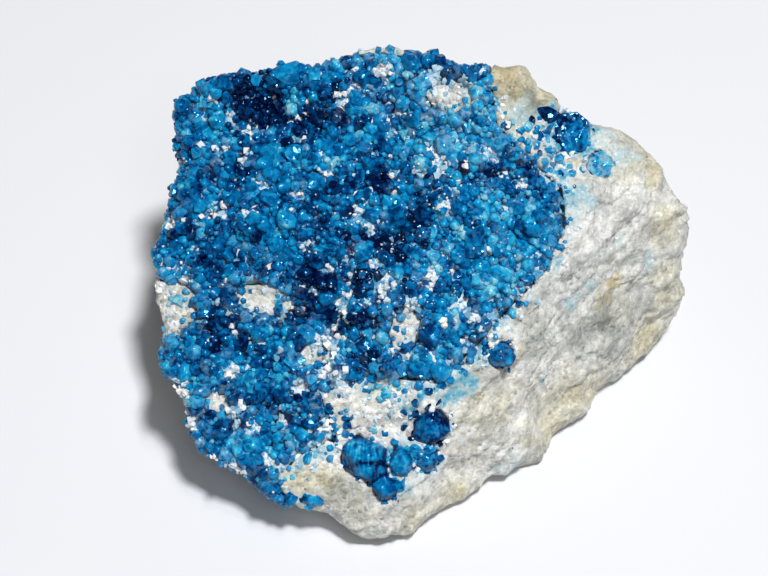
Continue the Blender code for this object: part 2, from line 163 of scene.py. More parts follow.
PAINT = {  # x, y, z in millimetres, reach, strength
    "stain_and_foot_shade": [
        (16.5, -1.5, 8.5, 3.0, 0.24),
        (6.4, 9.5, 25.8, 3.2, 0.9),
        (7.2, 6.5, 24.6, 1.8, 0.55),
        (9.5, 9.0, 24.3, 3.0, 0.5),
        (14.0, 10.0, 21.5, 3.0, 0.4),
        (12.2, 4.7, 21.1, 0.7, 0.9),
        (18.1, 8.8, 18.1, 2.4, 0.55),
        (19.3, 6.8, 17.4, 1.6, 0.6),
        (20.8, 4.2, 13.5, 2.2, 0.5),
        (16.1, -0.2, 11.1, 0.9, 0.85),
        (15.5, -1.4, 10.1, 1.0, 0.8),
        (7.6, -9.1, 11.9, 0.8, 0.8),
        (19.5, 0.0, 3.0, 3.0, 0.6),
        (14.5, -5.5, 2.0, 2.4, 0.5),
        (10.3, -9.8, 2.0, 2.0, 0.6),
        (8.5, -11.8, 3.6, 1.1, 0.5),
        (-10.8, -17.8, 6.1, 1.6, 0.6),
        (-8.6, -17.9, 6.0, 1.6, 0.6),
        (-6.0, -19.4, 4.0, 2.2, 0.3),
        (-0.8, -19.3, 2.0, 2.2, 0.42),
        (2.4, -16.0, 1.8, 1.5, 0.6),
        (-4.6, -12.0, 11.1, 0.9, 0.8),
        (-2.5, -11.8, 11.4, 0.8, 0.8),
    ],
    # partly the marble's own grey mottling, partly painted shade on the middle of the right wall and under its ledge
    "grey": [
        (15.5, -3.0, 8.5, 3.6, 0.9),
        (13.0, -4.5, 9.5, 2.2, 0.6),
        (17.5, -0.5, 9.0, 2.6, 0.7),
        (10.6, -5.6, 11.0, 2.3, 1.0),
        (9.8, -4.7, 14.5, 1.1, 0.5),
        (15.6, -2.5, 8.3, 1.9, 0.8),
        (9.8, -8.8, 5.5, 1.2, 0.7),
        (5.6, -10.4, 10.5, 1.0, 0.8),
        (18.9, 1.2, 10.5, 1.6, 0.8),
        (17.0, -2.3, 6.9, 1.4, 0.6),
        (14.2, -4.7, 7.0, 1.8, 0.75),
        (14.1, 2.2, 19.5, 1.5, 0.4),
        (5.0, -12.6, 6.2, 1.2, 0.5),
        (9.0, 7.5, 24.2, 3.0, 0.9),
        (-3.5, -17.6, 6.2, 1.5, 0.4),
    ],
    # partly whiter marble, partly painted light brightening the bevel and the toe
    "white": [
        (12.3, -2.8, 13.4, 2.6, 1.0),
        (14.0, -0.8, 15.4, 2.4, 1.0),
        (7.8, -9.4, 9.2, 1.5, 0.9),
        (5.0, -11.3, 8.9, 1.5, 0.9),
        (7.9, -11.6, 5.4, 1.4, 0.9),
        (12.0, -6.0, 7.1, 1.3, 0.8),
        (14.6, 0.7, 17.3, 2.2, 0.9),
        (18.3, 3.6, 16.1, 1.6, 0.7),
        (-6.6, -12.5, 10.9, 1.8, 0.9),
        (-2.5, -13.2, 10.4, 1.8, 0.9),
        (0.0, -12.8, 11.2, 1.6, 0.9),
        (-7.1, -15.0, 7.9, 1.6, 0.9),
        (-10.8, -16.3, 7.6, 1.6, 0.9),
        (3.5, -13.0, 8.0, 1.2, 0.8),
        (-2.0, -16.5, 6.5, 1.6, 0.8),
        (8.6, -10.6, 4.4, 1.6, 0.8),
        (5.6, -12.9, 4.2, 1.6, 0.8),
        (0.6, -16.6, 4.0, 1.7, 0.8),
        (-4.6, -18.6, 4.4, 1.8, 0.6),
    ],
    "blue": [
        (12.3, -3.5, 11.8, 1.0, 0.34),
        (13.8, -2.2, 12.1, 0.9, 0.28),
        (9.9, -7.8, 7.3, 0.8, 0.5),
        (6.4, -12.6, 1.6, 1.7, 0.38),
        (19.5, 1.8, 11.4, 1.0, 0.28),
        (17.4, 7.0, 19.3, 1.2, 0.26),
        (16.6, 1.3, 14.7, 0.8, 0.24),
        (12.4, 1.3, 19.3, 1.0, 0.3),
        (-2.0, -18.3, 5.4, 0.9, 0.4),
        # these three are painted shade: a blue smear on the steep strip that drops from the white ledge to the
        # crystals
        (3.4, -11.6, 11.0, 0.9, 0.5),
        (2.2, -12.4, 10.6, 0.9, 0.6),
        (1.2, -13.0, 10.2, 0.7, 0.6),
    ],
}
FACE_BLUES = [  # u, v, reach, strength
    (10.5, -6.5, 0.8, 0.62),
    (9.6, -7.6, 0.7, 0.6),
    (8.8, -8.6, 0.6, 0.5),
    (12.2, -5.2, 0.8, 0.55),
    (5.3, -7.2, 1.0, 0.4),
    (6.8, -7.4, 0.7, 0.45),
    (17.4, 18.6, 1.5, 0.72),
    (19.5, 19.0, 1.0, 0.5),
    (16.9, 16.6, 0.9, 0.75),
    (18.9, 16.4, 0.8, 0.5),
    (17.2, 14.2, 0.9, 0.62),
    (17.7, 11.6, 1.1, 0.5),
    (18.8, 12.5, 1.0, 0.42),
    (18.9, 9.9, 0.9, 0.34),
    (15.3, 18.7, 0.75, 1.0),
    (14.9, 16.7, 0.6, 0.95),
    (16.3, 18.9, 1.1, 0.8),
    (15.5, 17.1, 0.6, 0.75),
    (16.9, 17.7, 0.95, 0.75),
    (17.7, 18.8, 1.1, 0.5),
    (19.0, 18.6, 1.2, 0.3),
    (17.2, 16.9, 0.8, 0.42),
    (18.9, 16.7, 0.85, 0.45),
    (16.9, 14.9, 0.8, 0.38),
    (21.6, 17.1, 1.5, 0.28),
    (19.7, 12.6, 1.3, 0.32),
    (17.3, 11.8, 1.2, 0.45),
    (13.0, 18.0, 1.6, 0.3),
    (14.2, -1.9, 1.2, 0.6),
    (13.2, -4.6, 1.0, 0.45),
    (12.3, -6.4, 0.8, 0.5),
    (8.6, -12.4, 1.4, 0.45),
    (10.8, -11.8, 1.4, 0.5),
    (8.6, -14.6, 1.3, 0.45),
    (2.2, -13.2, 1.0, 0.25),
]


def solid_copy(node):
    """A CAD solid as a bmesh with its loose triangles joined."""
    solid = bmesh.new()
    solid.from_mesh(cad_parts[node].data)
    bmesh.ops.remove_doubles(solid, verts=solid.verts, dist=0.0005 * MM)
    return solid


def new_piece(name, solid, *nodes):
    """A shown object made from a bmesh, standing for CAD nodes if any are named."""
    skin = bpy.data.meshes.new(name)
    solid.to_mesh(skin)
    solid.free()
    piece = bpy.data.objects.new(name, skin)
    bpy.context.scene.collection.objects.link(piece)
    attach(piece, "root")
    if nodes:
        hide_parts(*nodes)
    return piece


def settle(piece):
    """Puts a piece's modifiers into its mesh."""
    bpy.context.view_layer.update()
    drawn = piece.evaluated_get(bpy.context.evaluated_depsgraph_get())
    skin = bpy.data.meshes.new_from_object(drawn)
    piece.modifiers.clear()
    piece.data = skin


def regrid(piece, size):
    grid = piece.modifiers.new("grid", "REMESH")
    grid.mode = "VOXEL"
    grid.voxel_size = size
    grid.use_smooth_shade = True
    settle(piece)


def lean(piece):
    """Moves a piece's rim out or in, to the outline the lump is seen to have."""
    corners = np.empty(len(piece.data.vertices) * 3)
    piece.data.vertices.foreach_get("co", corners)
    corners = corners.reshape(-1, 3)
    moved = corners.copy()
    for x, y, z, reach, *move in RIM:
        away = np.linalg.norm(corners / MM - np.array((x, y, z)), axis=1)
        moved += np.exp(-((away / reach) ** 2))[:, None] * np.array(move) * MM
    piece.data.vertices.foreach_set("co", moved.reshape(-1))
    piece.data.update()


def smooth_step(value, low, high):
    part = np.clip((value - low) / (high - low), 0.0, 1.0)
    return part * part * (3 - 2 * part)


def keep(piece, name, values):
    """Stores one value at each corner of a piece's mesh."""
    layer = piece.data.attributes.new(name, "FLOAT", "POINT")
    layer.data.foreach_set("value", np.asarray(values, np.float32))


face_up = Vector(
    (
        math.sin(FACE_TILT) * math.cos(FACE_BEARING),
        math.sin(FACE_TILT) * math.sin(FACE_BEARING),
        math.cos(FACE_TILT),
    )
)
face_right = Vector((-math.sin(FACE_BEARING), math.cos(FACE_BEARING), 0.0))
face_along = face_up.cross(face_right)


def face_place(point):
    """A point's (u, v) on the crystal face, in millimetres."""
    off = point - FACE_MIDDLE
    return off.dot(face_right) / MM, off.dot(face_along) / MM


block = new_piece("marble_block", solid_copy("matrix"), "matrix")
regrid(block, BLOCK_GRID)
lean(block)
bed_solid = solid_copy("afghanite_crust")
bed_tree = BVHTree.FromBMesh(bed_solid)
count = len(block.data.vertices)
tint = np.zeros(count)
warped = np.zeros((count, 3))
turned_up = np.zeros(count)
normals = [corner.normal.copy() for corner in block.data.vertices]
for number, (corner, normal) in enumerate(zip(block.data.vertices, normals)):
    place = corner.co / MM
    on_wall = float(smooth_step(normal.dot(WALL_FACING), 0.25, 0.75))
    _, _, _, away = bed_tree.find_nearest(corner.co, 4 * MM)
    if away is not None:
        tint[number] = 1 - smooth_step(away, 0.2 * MM, TINT_REACH)
    warped[number] = place + 0.9 * noise.noise_vector(place / 1.1) + 0.4 * noise.noise_vector(place / 0.4)
    turned_up[number] = normal.dot(face_up)
    if corner.co.z < 0.05 * MM:
        corner.co.z = 0.0
        continue
    lumps = noise.noise(place / 1.7) + 0.5 * noise.noise(place / 0.8)
    cells = noise.voronoi(corner.co / SUGAR_SIZE)[0]
    warp = 1.3 * noise.noise(place / 4.5) + 0.5 * noise.noise(place / 1.6)
    leaf = 0.0
    for pitch, share in ((2.1, 0.5), (0.8, 0.5)):
        strength = float(smooth_step(noise.noise(place / 3.1 + Vector((pitch, 0, 0))), -0.35, 0.35))
        leaf += share * strength * (((place.dot(LAYER_STACK) + warp) / pitch) % 1.0 - 0.5)
    height = LUMP_DEPTH * lumps - SUGAR_DEPTH * (cells[0] - 0.4) + LAYER_DEPTH * leaf * (0.25 + 1.1 * on_wall)
    corner.co += normal * height * float(smooth_step(corner.co.z, 0.0, 0.6 * MM))
    corner.co = [min(max(corner.co[i], cad_low[i]), cad_high[i]) for i in range(3)]
keep(block, "tint", tint)
for name, patches in PAINT.items():
    amount = np.zeros(count)
    for x, y, z, reach, strength in patches:
        away = np.linalg.norm(warped - np.array((x, y, z)), axis=1)
        amount = np.maximum(amount, strength * np.exp(-((away / reach) ** 2)))
    if name == "blue":
        off = warped - np.array(FACE_MIDDLE / MM)
        u, v = off @ np.array(face_right), off @ np.array(face_along)
        for place_u, place_v, reach, strength in FACE_BLUES:
            near = strength * np.exp(-((u - place_u) ** 2 + (v - place_v) ** 2) / reach**2)
            amount = np.maximum(amount, near * smooth_step(turned_up, 0.0, 0.5))
    # Painted shade: a cream-brown band along the foot, darker towards the table, where the lump curves under.
    if name == "stain_and_foot_shade":
        amount = np.maximum(amount, 0.32 * (1 - smooth_step(warped[:, 2], 0.2, 2.4)))
    keep(block, name, amount)


def add(tree, kind, settings=None, **inputs):
    """A shader node. An input is a value or another node's output socket, and _ stands for a space."""
    made = tree.nodes.new(kind)
    for name, value in (settings or {}).items():
        setattr(made, name, value)
    for name, value in inputs.items():
        key = int(name[5:]) if name.startswith("input") else name.replace("_", " ")
        if isinstance(value, bpy.types.NodeSocket):
            tree.links.new(value, made.inputs[key])
        else:
            made.inputs[key].default_value = value
    return made


def ramp(tree, value, *stops):
    """A colour ramp through (place, colour) stops."""
    made = tree.nodes.new("ShaderNodeValToRGB")
    tree.links.new(value, made.inputs["Fac"])
    while len(made.color_ramp.elements) < len(stops):
        made.color_ramp.elements.new(1.0)
    for element, (place, color) in zip(made.color_ramp.elements, stops):
        element.position = place
        element.color = (*color, 1.0)
    return made.outputs["Color"]


def fade(tree, value, low, high, bottom=0.0, top=1.0):
    """A value spread from low..high to bottom..top."""
    made = add(tree, "ShaderNodeMapRange", Value=value, From_Min=low, From_Max=high, To_Min=bottom, To_Max=top)
    return made.outputs["Result"]


def blend(tree, amount, first, second, how="MIX"):
    """Mixes two colours, each a socket or a value."""
    made = tree.nodes.new("ShaderNodeMix")
    made.data_type = "RGBA"
    made.blend_type = how
    for key, value in ((0, amount), (6, first), (7, second)):
        if isinstance(value, bpy.types.NodeSocket):
            tree.links.new(value, made.inputs[key])
        else:
            made.inputs[key].default_value = value
    return made.outputs[2]


def figure(tree, operation, first, second=0.0, clamp=False):
    made = add(tree, "ShaderNodeMath", {"operation": operation, "use_clamp": clamp}, input0=first, input1=second)
    return made.outputs[0]


def attribute(tree, name):
    return add(tree, "ShaderNodeAttribute", {"attribute_name": name}).outputs["Fac"]


def noise_value(tree, place, scale, detail=4.0, roughness=0.6):
    made = add(tree, "ShaderNodeTexNoise", Vector=place, Scale=scale, Detail=detail, Roughness=roughness)
    return made.outputs["Fac"]


# Sugary crystals: fine and interlocked, each cleaved at its own slant, so that single ones
# catch the light. The block, the bed's cement and every grain share it.
sugar = bpy.data.node_groups.new("sugary crystals", "ShaderNodeTree")
sugar.interface.new_socket("Crystal Size", in_out="INPUT", socket_type="NodeSocketFloat")
sugar.interface.new_socket("Slant", in_out="INPUT", socket_type="NodeSocketFloat")
sugar.interface.new_socket("Normal", in_out="OUTPUT", socket_type="NodeSocketVector")
sugar.interface.new_socket("Height", in_out="OUTPUT", socket_type="NodeSocketFloat")
sugar.interface.new_socket("Shade", in_out="OUTPUT", socket_type="NodeSocketFloat")
given = sugar.nodes.new("NodeGroupInput")
place = add(sugar, "ShaderNodeTexCoord")
per_metre = figure(sugar, "DIVIDE", 1.0, given.outputs["Crystal Size"])
cells = add(sugar, "ShaderNodeTexVoronoi", Vector=place.outputs["Object"], Scale=per_metre)
fine = noise_value(sugar, place.outputs["Object"], 2600.0)
centred = add(sugar, "ShaderNodeVectorMath", {"operation": "SUBTRACT"}, input0=cells.outputs["Color"])
centred.inputs[1].default_value = (0.5, 0.5, 0.5)
slanted = add(sugar, "ShaderNodeVectorMath", {"operation": "SCALE"}, input0=centred.outputs[0])
sugar.links.new(given.outputs["Slant"], slanted.inputs["Scale"])
facing = add(sugar, "ShaderNodeNewGeometry").outputs["Normal"]
leaned = add(sugar, "ShaderNodeVectorMath", {"operation": "ADD"}, input0=slanted.outputs[0], input1=facing)
unit = add(sugar, "ShaderNodeVectorMath", {"operation": "NORMALIZE"}, input0=leaned.outputs[0])
height = figure(sugar, "SUBTRACT", fine, cells.outputs["Distance"])
shade = add(sugar, "ShaderNodeSeparateColor", Color=cells.outputs["Color"])
given_out = sugar.nodes.new("NodeGroupOutput")
sugar.links.new(unit.outputs[0], given_out.inputs["Normal"])
sugar.links.new(height, given_out.inputs["Height"])
sugar.links.new(shade.outputs[0], given_out.inputs["Shade"])


def sugar_node(tree, size, slant):
    made = tree.nodes.new("ShaderNodeGroup")
    made.node_tree = sugar
    made.inputs["Crystal Size"].default_value = size
    made.inputs["Slant"].default_value = slant
    return made


def new_finish(name):
    """A material, with its node tree, its shader and the Object coordinates."""
    finish = bpy.data.materials.new(name)
    finish.use_nodes = True
    tree = finish.node_tree
    return finish, tree, tree.nodes["Principled BSDF"], add(tree, "ShaderNodeTexCoord").outputs["Object"]


def bumped(tree, shader, crystals, strength, distance):
    """Gives a shader the slanted crystals' normals, with their height as bump."""
    bump = add(tree, "ShaderNodeBump", Height=crystals.outputs["Height"], Strength=strength, Distance=distance)
    tree.links.new(crystals.outputs["Normal"], bump.inputs["Normal"])
    tree.links.new(bump.outputs["Normal"], shader.inputs["Normal"])


marble, tree, shader, place = new_finish("white_marble_finish")
crystals = sugar_node(tree, 0.34 * MM, 0.6)
broad = noise_value(tree, place, 110.0, 5.0)
cloudy = noise_value(tree, place, 330.0, 5.0, 0.65)
flecks = noise_value(tree, place, 1600.0, 3.0)
# the ledges' fine lines: noise drawn out along the layers
along = LAYER_RUN
across = LAYER_STACK.cross(along).normalized()
turn = Matrix((along, across, along.cross(across))).to_euler()
laid = add(tree, "ShaderNodeMapping", Vector=place, Rotation=turn, Scale=(0.13, 1.0, 1.0))
lines = noise_value(tree, laid.outputs["Vector"], 1100.0, 4.0, 0.65)
color = ramp(
    tree,
    cloudy,
    (0.30, (0.52, 0.52, 0.50)),
    (0.42, (0.68, 0.68, 0.64)),
    (0.56, (0.81, 0.81, 0.77)),
    (0.72, (0.93, 0.92, 0.90)),
)
# Whiter in patches: partly its own white, partly painted light on the bevel and the toe.
color = blend(tree, figure(tree, "MULTIPLY", attribute(tree, "white"), 0.8), color, (0.95, 0.95, 0.93, 1.0))
# Greyer in random patches of its own, and where the grey list paints shade on the right wall.
grey_and_wall_shade = fade(tree, broad, 0.48, 0.34, 0.0, 0.55)
grey_and_wall_shade = figure(tree, "MAXIMUM", grey_and_wall_shade, attribute(tree, "grey"))
grey_and_wall_shade = figure(tree, "MULTIPLY", grey_and_wall_shade, fade(tree, cloudy, 0.68, 0.42, 0.15))
color = blend(tree, grey_and_wall_shade, color, (0.50, 0.52, 0.52, 1.0), "MULTIPLY")
color = blend(tree, 1.0, color, ramp(tree, lines, (0.36, (0.70, 0.71, 0.70)), (0.52, (1.0, 1.0, 1.0))), "MULTIPLY")
# The cream and ochre stains on the rims, with the painted shade along the foot.
stain_and_shade = figure(tree, "MAXIMUM", fade(tree, broad, 0.50, 0.75, 0.0, 0.7), attribute(tree, "stain_and_foot_shade"))
stain_and_shade = figure(tree, "MULTIPLY", stain_and_shade, fade(tree, cloudy, 0.30, 0.60, 0.6, 1.15))
cream = ramp(tree, stain_and_shade, (0.08, (1.0, 1.0, 1.0)), (0.45, (0.90, 0.86, 0.70)), (0.95, (0.70, 0.57, 0.34)))
color = blend(tree, 1.0, color, cream, "MULTIPLY")
color = blend(tree, 1.0, color, ramp(tree, flecks, (0.40, (0.80, 0.80, 0.80)), (0.58, (1.0, 1.0, 1.0))), "MULTIPLY")
# Single crystals vary in lightness at random: partly their own tone, partly painted sparkle of light catching them.
single = ramp(tree, crystals.outputs["Shade"], (0.0, (0.83, 0.84, 0.85)), (0.5, (0.97, 0.97, 0.97)), (0.95, (1.0, 1.0, 1.0)))
color = blend(tree, 1.0, color, single, "MULTIPLY")
run_in = figure(tree, "MULTIPLY", attribute(tree, "tint"), fade(tree, cloudy, 0.48, 0.66, 0.0, 0.5))
blued = figure(tree, "MAXIMUM", run_in, attribute(tree, "blue"))
blued = figure(tree, "MULTIPLY", blued, fade(tree, crystals.outputs["Shade"], 0.0, 1.0, 0.8, 1.15))
runs = ramp(
    tree,
    blued,
    (0.15, (0.44, 0.60, 0.64)),
    (0.38, (0.15, 0.42, 0.54)),
    (0.60, (0.015, 0.25, 0.46)),
    (0.82, (0.002, 0.10, 0.28)),
    (0.98, (0.001, 0.025, 0.12)),
)
color = blend(tree, fade(tree, blued, 0.06, 0.42), color, runs)
dots = add(tree, "ShaderNodeTexVoronoi", Vector=place, Scale=280.0).outputs["Distance"]
color = blend(tree, fade(tree, dots, 0.034, 0.022), color, (0.06, 0.05, 0.045, 1.0))
tree.links.new(color, shader.inputs["Base Color"])
tree.links.new(fade(tree, crystals.outputs["Shade"], 0.0, 1.0, 0.28, 0.75), shader.inputs["Roughness"])
bumped(tree, shader, crystals, 0.55, 0.14 * MM)
shader.inputs["Subsurface Weight"].default_value = 0.2
shader.inputs["Subsurface Radius"].default_value = (1.0, 0.95, 0.85)
shader.inputs["Subsurface Scale"].default_value = 0.25 * MM
block.data.materials.clear()
block.data.materials.append(marble)

# The bed's cement: what lies between and under the blue grains, dark blue rock with white
# calcite, laid over the whole bed and lapping on to the marble. Its near-black navy is partly
# painted shade, for the shadowed gaps between the grains.
CEMENT_GRID = 0.4 * MM
CEMENT_SWELL = 0.18  # in millimetres, where it meets the marble
CEMENT_SINK = 0.5  # and how much lower it lies away from it, under its grains

cement = new_piece("bed_cement", bed_solid.copy(), "afghanite_crust")
regrid(cement, CEMENT_GRID)
soften = cement.modifiers.new("soften", "SMOOTH")
soften.factor = 0.5
soften.iterations = 18
settle(cement)
lean(cement)
block_tree = BVHTree.FromObject(block, bpy.context.evaluated_depsgraph_get())
normals = [corner.normal.copy() for corner in cement.data.vertices]
pale = []
for corner, normal in zip(cement.data.vertices, normals):
    _, _, _, away = block_tree.find_nearest(corner.co, 3 * MM)
    sunk = 1.0 if away is None else float(smooth_step(away / MM, 0.3, 1.3))
    corner.co += normal * (CEMENT_SWELL - CEMENT_SINK * sunk) * MM
    pale.append(1 - sunk)
keep(cement, "pale", pale)
cement_finish, tree, shader, place = new_finish("bed_cement_finish")
crystals = sugar_node(tree, 0.35 * MM, 0.6)
patchy = noise_value(tree, place, 420.0)
color = ramp(
    tree,
    patchy,
    # near-black navy: partly the rock's own dark blue, partly painted shade in the gaps between grains
    (0.38, (0.002, 0.010, 0.06)),
    (0.47, (0.003, 0.10, 0.30)),
    (0.54, (0.08, 0.34, 0.55)),
    (0.60, (0.74, 0.80, 0.84)),
)
pale_share = figure(tree, "MULTIPLY", attribute(tree, "pale"), fade(tree, patchy, 0.35, 0.55, 0.6, 1.0))
color = blend(tree, pale_share, color, (0.42, 0.60, 0.70, 1.0))
tree.links.new(color, shader.inputs["Base Color"])
shader.inputs["Roughness"].default_value = 0.35
bumped(tree, shader, crystals, 0.7, 0.15 * MM)
cement.data.materials.clear()
cement.data.materials.append(cement_finish)

# Blue afghanite: glassy crystals from navy through azure to pale teal. Each has one tone,
# kept on its mesh, broken up by flaws, and by facets inside it painted lighter and darker as
# painted light, for the light they would refract. "milk" turns it grey and milky.
def blue_finish(name, facet_size, facet_light_share, cloud_share):
    finish, tree, shader, place = new_finish(name)
    facets = sugar_node(tree, facet_size, 0.5)
    flaws = noise_value(tree, place, 1700.0)
    uneven = fade(tree, noise_value(tree, place, 800.0, 3.0), 0.3, 0.7, -cloud_share, cloud_share)
    # Painted light: the facets inside each grain lighter and darker, as light refracted in them would make them.
    inner_facet_light = fade(tree, facets.outputs["Shade"], 0.0, 1.0, -facet_light_share, facet_light_share)
    toned = figure(tree, "ADD", attribute(tree, "tone"), figure(tree, "ADD", uneven, inner_facet_light), clamp=True)
    color = ramp(
        tree,
        toned,
        (0.04, (0.0002, 0.006, 0.06)),
        (0.24, (0.0004, 0.065, 0.25)),
        (0.46, (0.001, 0.210, 0.53)),
        (0.68, (0.006, 0.380, 0.74)),
        (0.84, (0.06, 0.56, 0.83)),
        (0.98, (0.36, 0.76, 0.90)),
    )
    frosted = figure(tree, "MULTIPLY", attribute(tree, "milk"), fade(tree, flaws, 0.46, 0.60, 0.0, 1.9), clamp=True)
    color = blend(tree, frosted, color, (0.36, 0.60, 0.73, 1.0))
    tree.links.new(color, shader.inputs["Base Color"])
    tree.links.new(fade(tree, flaws, 0.3, 0.7, 0.05, 0.28), shader.inputs["Roughness"])
    bump = add(tree, "ShaderNodeBump", Height=flaws, Strength=0.4, Distance=0.06 * MM)
    tree.links.new(facets.outputs["Normal"], bump.inputs["Normal"])
    tree.links.new(bump.outputs["Normal"], shader.inputs["Normal"])
    shader.inputs["IOR"].default_value = 1.53
    shader.inputs["Transmission Weight"].default_value = 0.3
    shader.inputs["Specular IOR Level"].default_value = 0.4
    shader.inputs["Specular Tint"].default_value = (0.25, 0.7, 1.0, 1.0)
    shader.inputs["Subsurface Weight"].default_value = 0.5
    shader.inputs["Subsurface Radius"].default_value = (0.3, 0.8, 1.0)
    shader.inputs["Subsurface Scale"].default_value = 0.3 * MM
    return finish


blue = blue_finish("blue_afghanite_finish", 0.34 * MM, 0.15, 0.22)
clear_blue = blue_finish("clear_afghanite_finish", 0.26 * MM, 0.12, 0.24)

# White calcite: sugary, milky grains between the blue ones, from clear grey-blue to white
# and cream.
calcite, tree, shader, place = new_finish("white_calcite_finish")
crystals = sugar_node(tree, 0.3 * MM, 0.4)
color = ramp(
    tree,
    attribute(tree, "tone"),
    (0.0, (0.11, 0.36, 0.56)),
    (0.28, (0.36, 0.57, 0.70)),
    (0.55, (0.72, 0.80, 0.87)),
    (0.85, (0.95, 0.945, 0.93)),
    (1.0, (0.94, 0.86, 0.72)),
)
tree.links.new(color, shader.inputs["Base Color"])
tree.links.new(crystals.outputs["Normal"], shader.inputs["Normal"])
shader.inputs["Roughness"].default_value = 0.28
shader.inputs["Subsurface Weight"].default_value = 0.4
shader.inputs["Subsurface Radius"].default_value = (0.9, 1.0, 1.0)
shader.inputs["Subsurface Scale"].default_value = 0.4 * MM

# Shapes for the grains: balls and blocks with flats broken on them, as crystals have that
# grew against each other.
draw = random.Random(11)


def break_flats(grain, flats, near, far, soft=False):
    for _ in range(flats):
        facing = Vector((draw.gauss(0, 1), draw.gauss(0, 1), draw.gauss(0, 1))).normalized()
        everything = grain.verts[:] + grain.edges[:] + grain.faces[:]
        start = facing * draw.uniform(near, far)
        cut = bmesh.ops.bisect_plane(grain, geom=everything, plane_co=start, plane_no=facing, clear_outer=True)
        rim = [item for item in cut["geom_cut"] if isinstance(item, bmesh.types.BMEdge)]
        for face in bmesh.ops.holes_fill(grain, edges=rim, sides=0)["faces"]:
            face.smooth = soft
    bmesh.ops.dissolve_degenerate(grain, edges=grain.edges, dist=0.02)
    bmesh.ops.triangulate(grain, faces=grain.faces)


def as_arrays(grain):
    corners = np.array([corner.co[:] for corner in grain.verts])
    grain.verts.index_update()
    faces = np.array([[corner.index for corner in face.verts] for face in grain.faces])
    smooth = np.array([face.smooth for face in grain.faces])
    grain.free()
    return corners, faces, smooth


def broken_ball(flats, detail, soft=False):
    """One grain about 2 across, round between its flats, and all over if it is soft."""
    grain = bmesh.new()
    bmesh.ops.create_icosphere(grain, subdivisions=detail, radius=1.0)
    for face in grain.faces:
        face.smooth = True
    squash = Matrix.Diagonal((draw.uniform(0.75, 1.1), draw.uniform(0.75, 1.1), draw.uniform(0.8, 1.3), 1.0))
    bmesh.ops.transform(grain, matrix=squash, verts=grain.verts)
    break_flats(grain, flats, 0.52, 0.85, soft)
    return as_arrays(grain)


def broken_block(flats, near=0.62, far=0.92):
    """One blocky grain about 2 across."""
    grain = bmesh.new()
    bmesh.ops.create_cube(grain, size=1.5)
    lengths = Matrix.Diagonal((draw.uniform(0.7, 1.1), draw.uniform(0.8, 1.1), draw.uniform(0.9, 1.35), 1.0))
    bmesh.ops.transform(grain, matrix=lengths, verts=grain.verts)
    break_flats(grain, flats, near, far)
    return as_arrays(grain)


def joined_grains(name, shapes, grains, finish):
    """One piece of many grains. A grain is (place, radius, tone) or (place, radius, tone, milk)."""
    all_corners, all_faces, all_tones, all_milk, all_smooth = [], [], [], [], []
    start = 0
    for place, radius, tone, *milk in grains:
        corners, faces, smooth = shapes[draw.randrange(len(shapes))]
        turn = Matrix.Rotation(draw.uniform(0, math.tau), 3, "Z") @ Matrix.Rotation(draw.uniform(0, math.pi), 3, "X")
        turn = turn @ Matrix.Rotation(draw.uniform(0, math.tau), 3, "Z")
        placed = corners @ np.array(turn).T * radius + np.array(place)
        all_corners.append(np.clip(placed, cad_low, cad_high))
        all_faces.append(faces + start)
        all_tones.append(np.full(len(corners), tone))
        all_milk.append(np.full(len(corners), milk[0] if milk else 0.0))
        all_smooth.append(smooth)
        start += len(corners)
    skin = bpy.data.meshes.new(name)
    skin.from_pydata(np.concatenate(all_corners), [], np.concatenate(all_faces))
    skin.polygons.foreach_set("use_smooth", np.concatenate(all_smooth))
    skin.update()
    piece = bpy.data.objects.new(name, skin)
    bpy.context.scene.collection.objects.link(piece)
    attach(piece, "root")
    keep(piece, "tone", np.concatenate(all_tones))
    keep(piece, "milk", np.concatenate(all_milk))
    piece.data.materials.append(finish)


large_shapes = [broken_ball(12, 2) for _ in range(10)]
grain_shapes = [broken_ball(5, 1, soft=True) for _ in range(13)]
grain_shapes += [broken_ball(6, 1) for _ in range(8)] + [broken_block(6) for _ in range(3)]
fine_shapes = [broken_ball(3, 1) for _ in range(12)]
white_shapes = [broken_block(9, 0.42, 0.85) for _ in range(16)]
chip_shapes = [broken_block(3, 0.45, 0.8) for _ in range(8)]

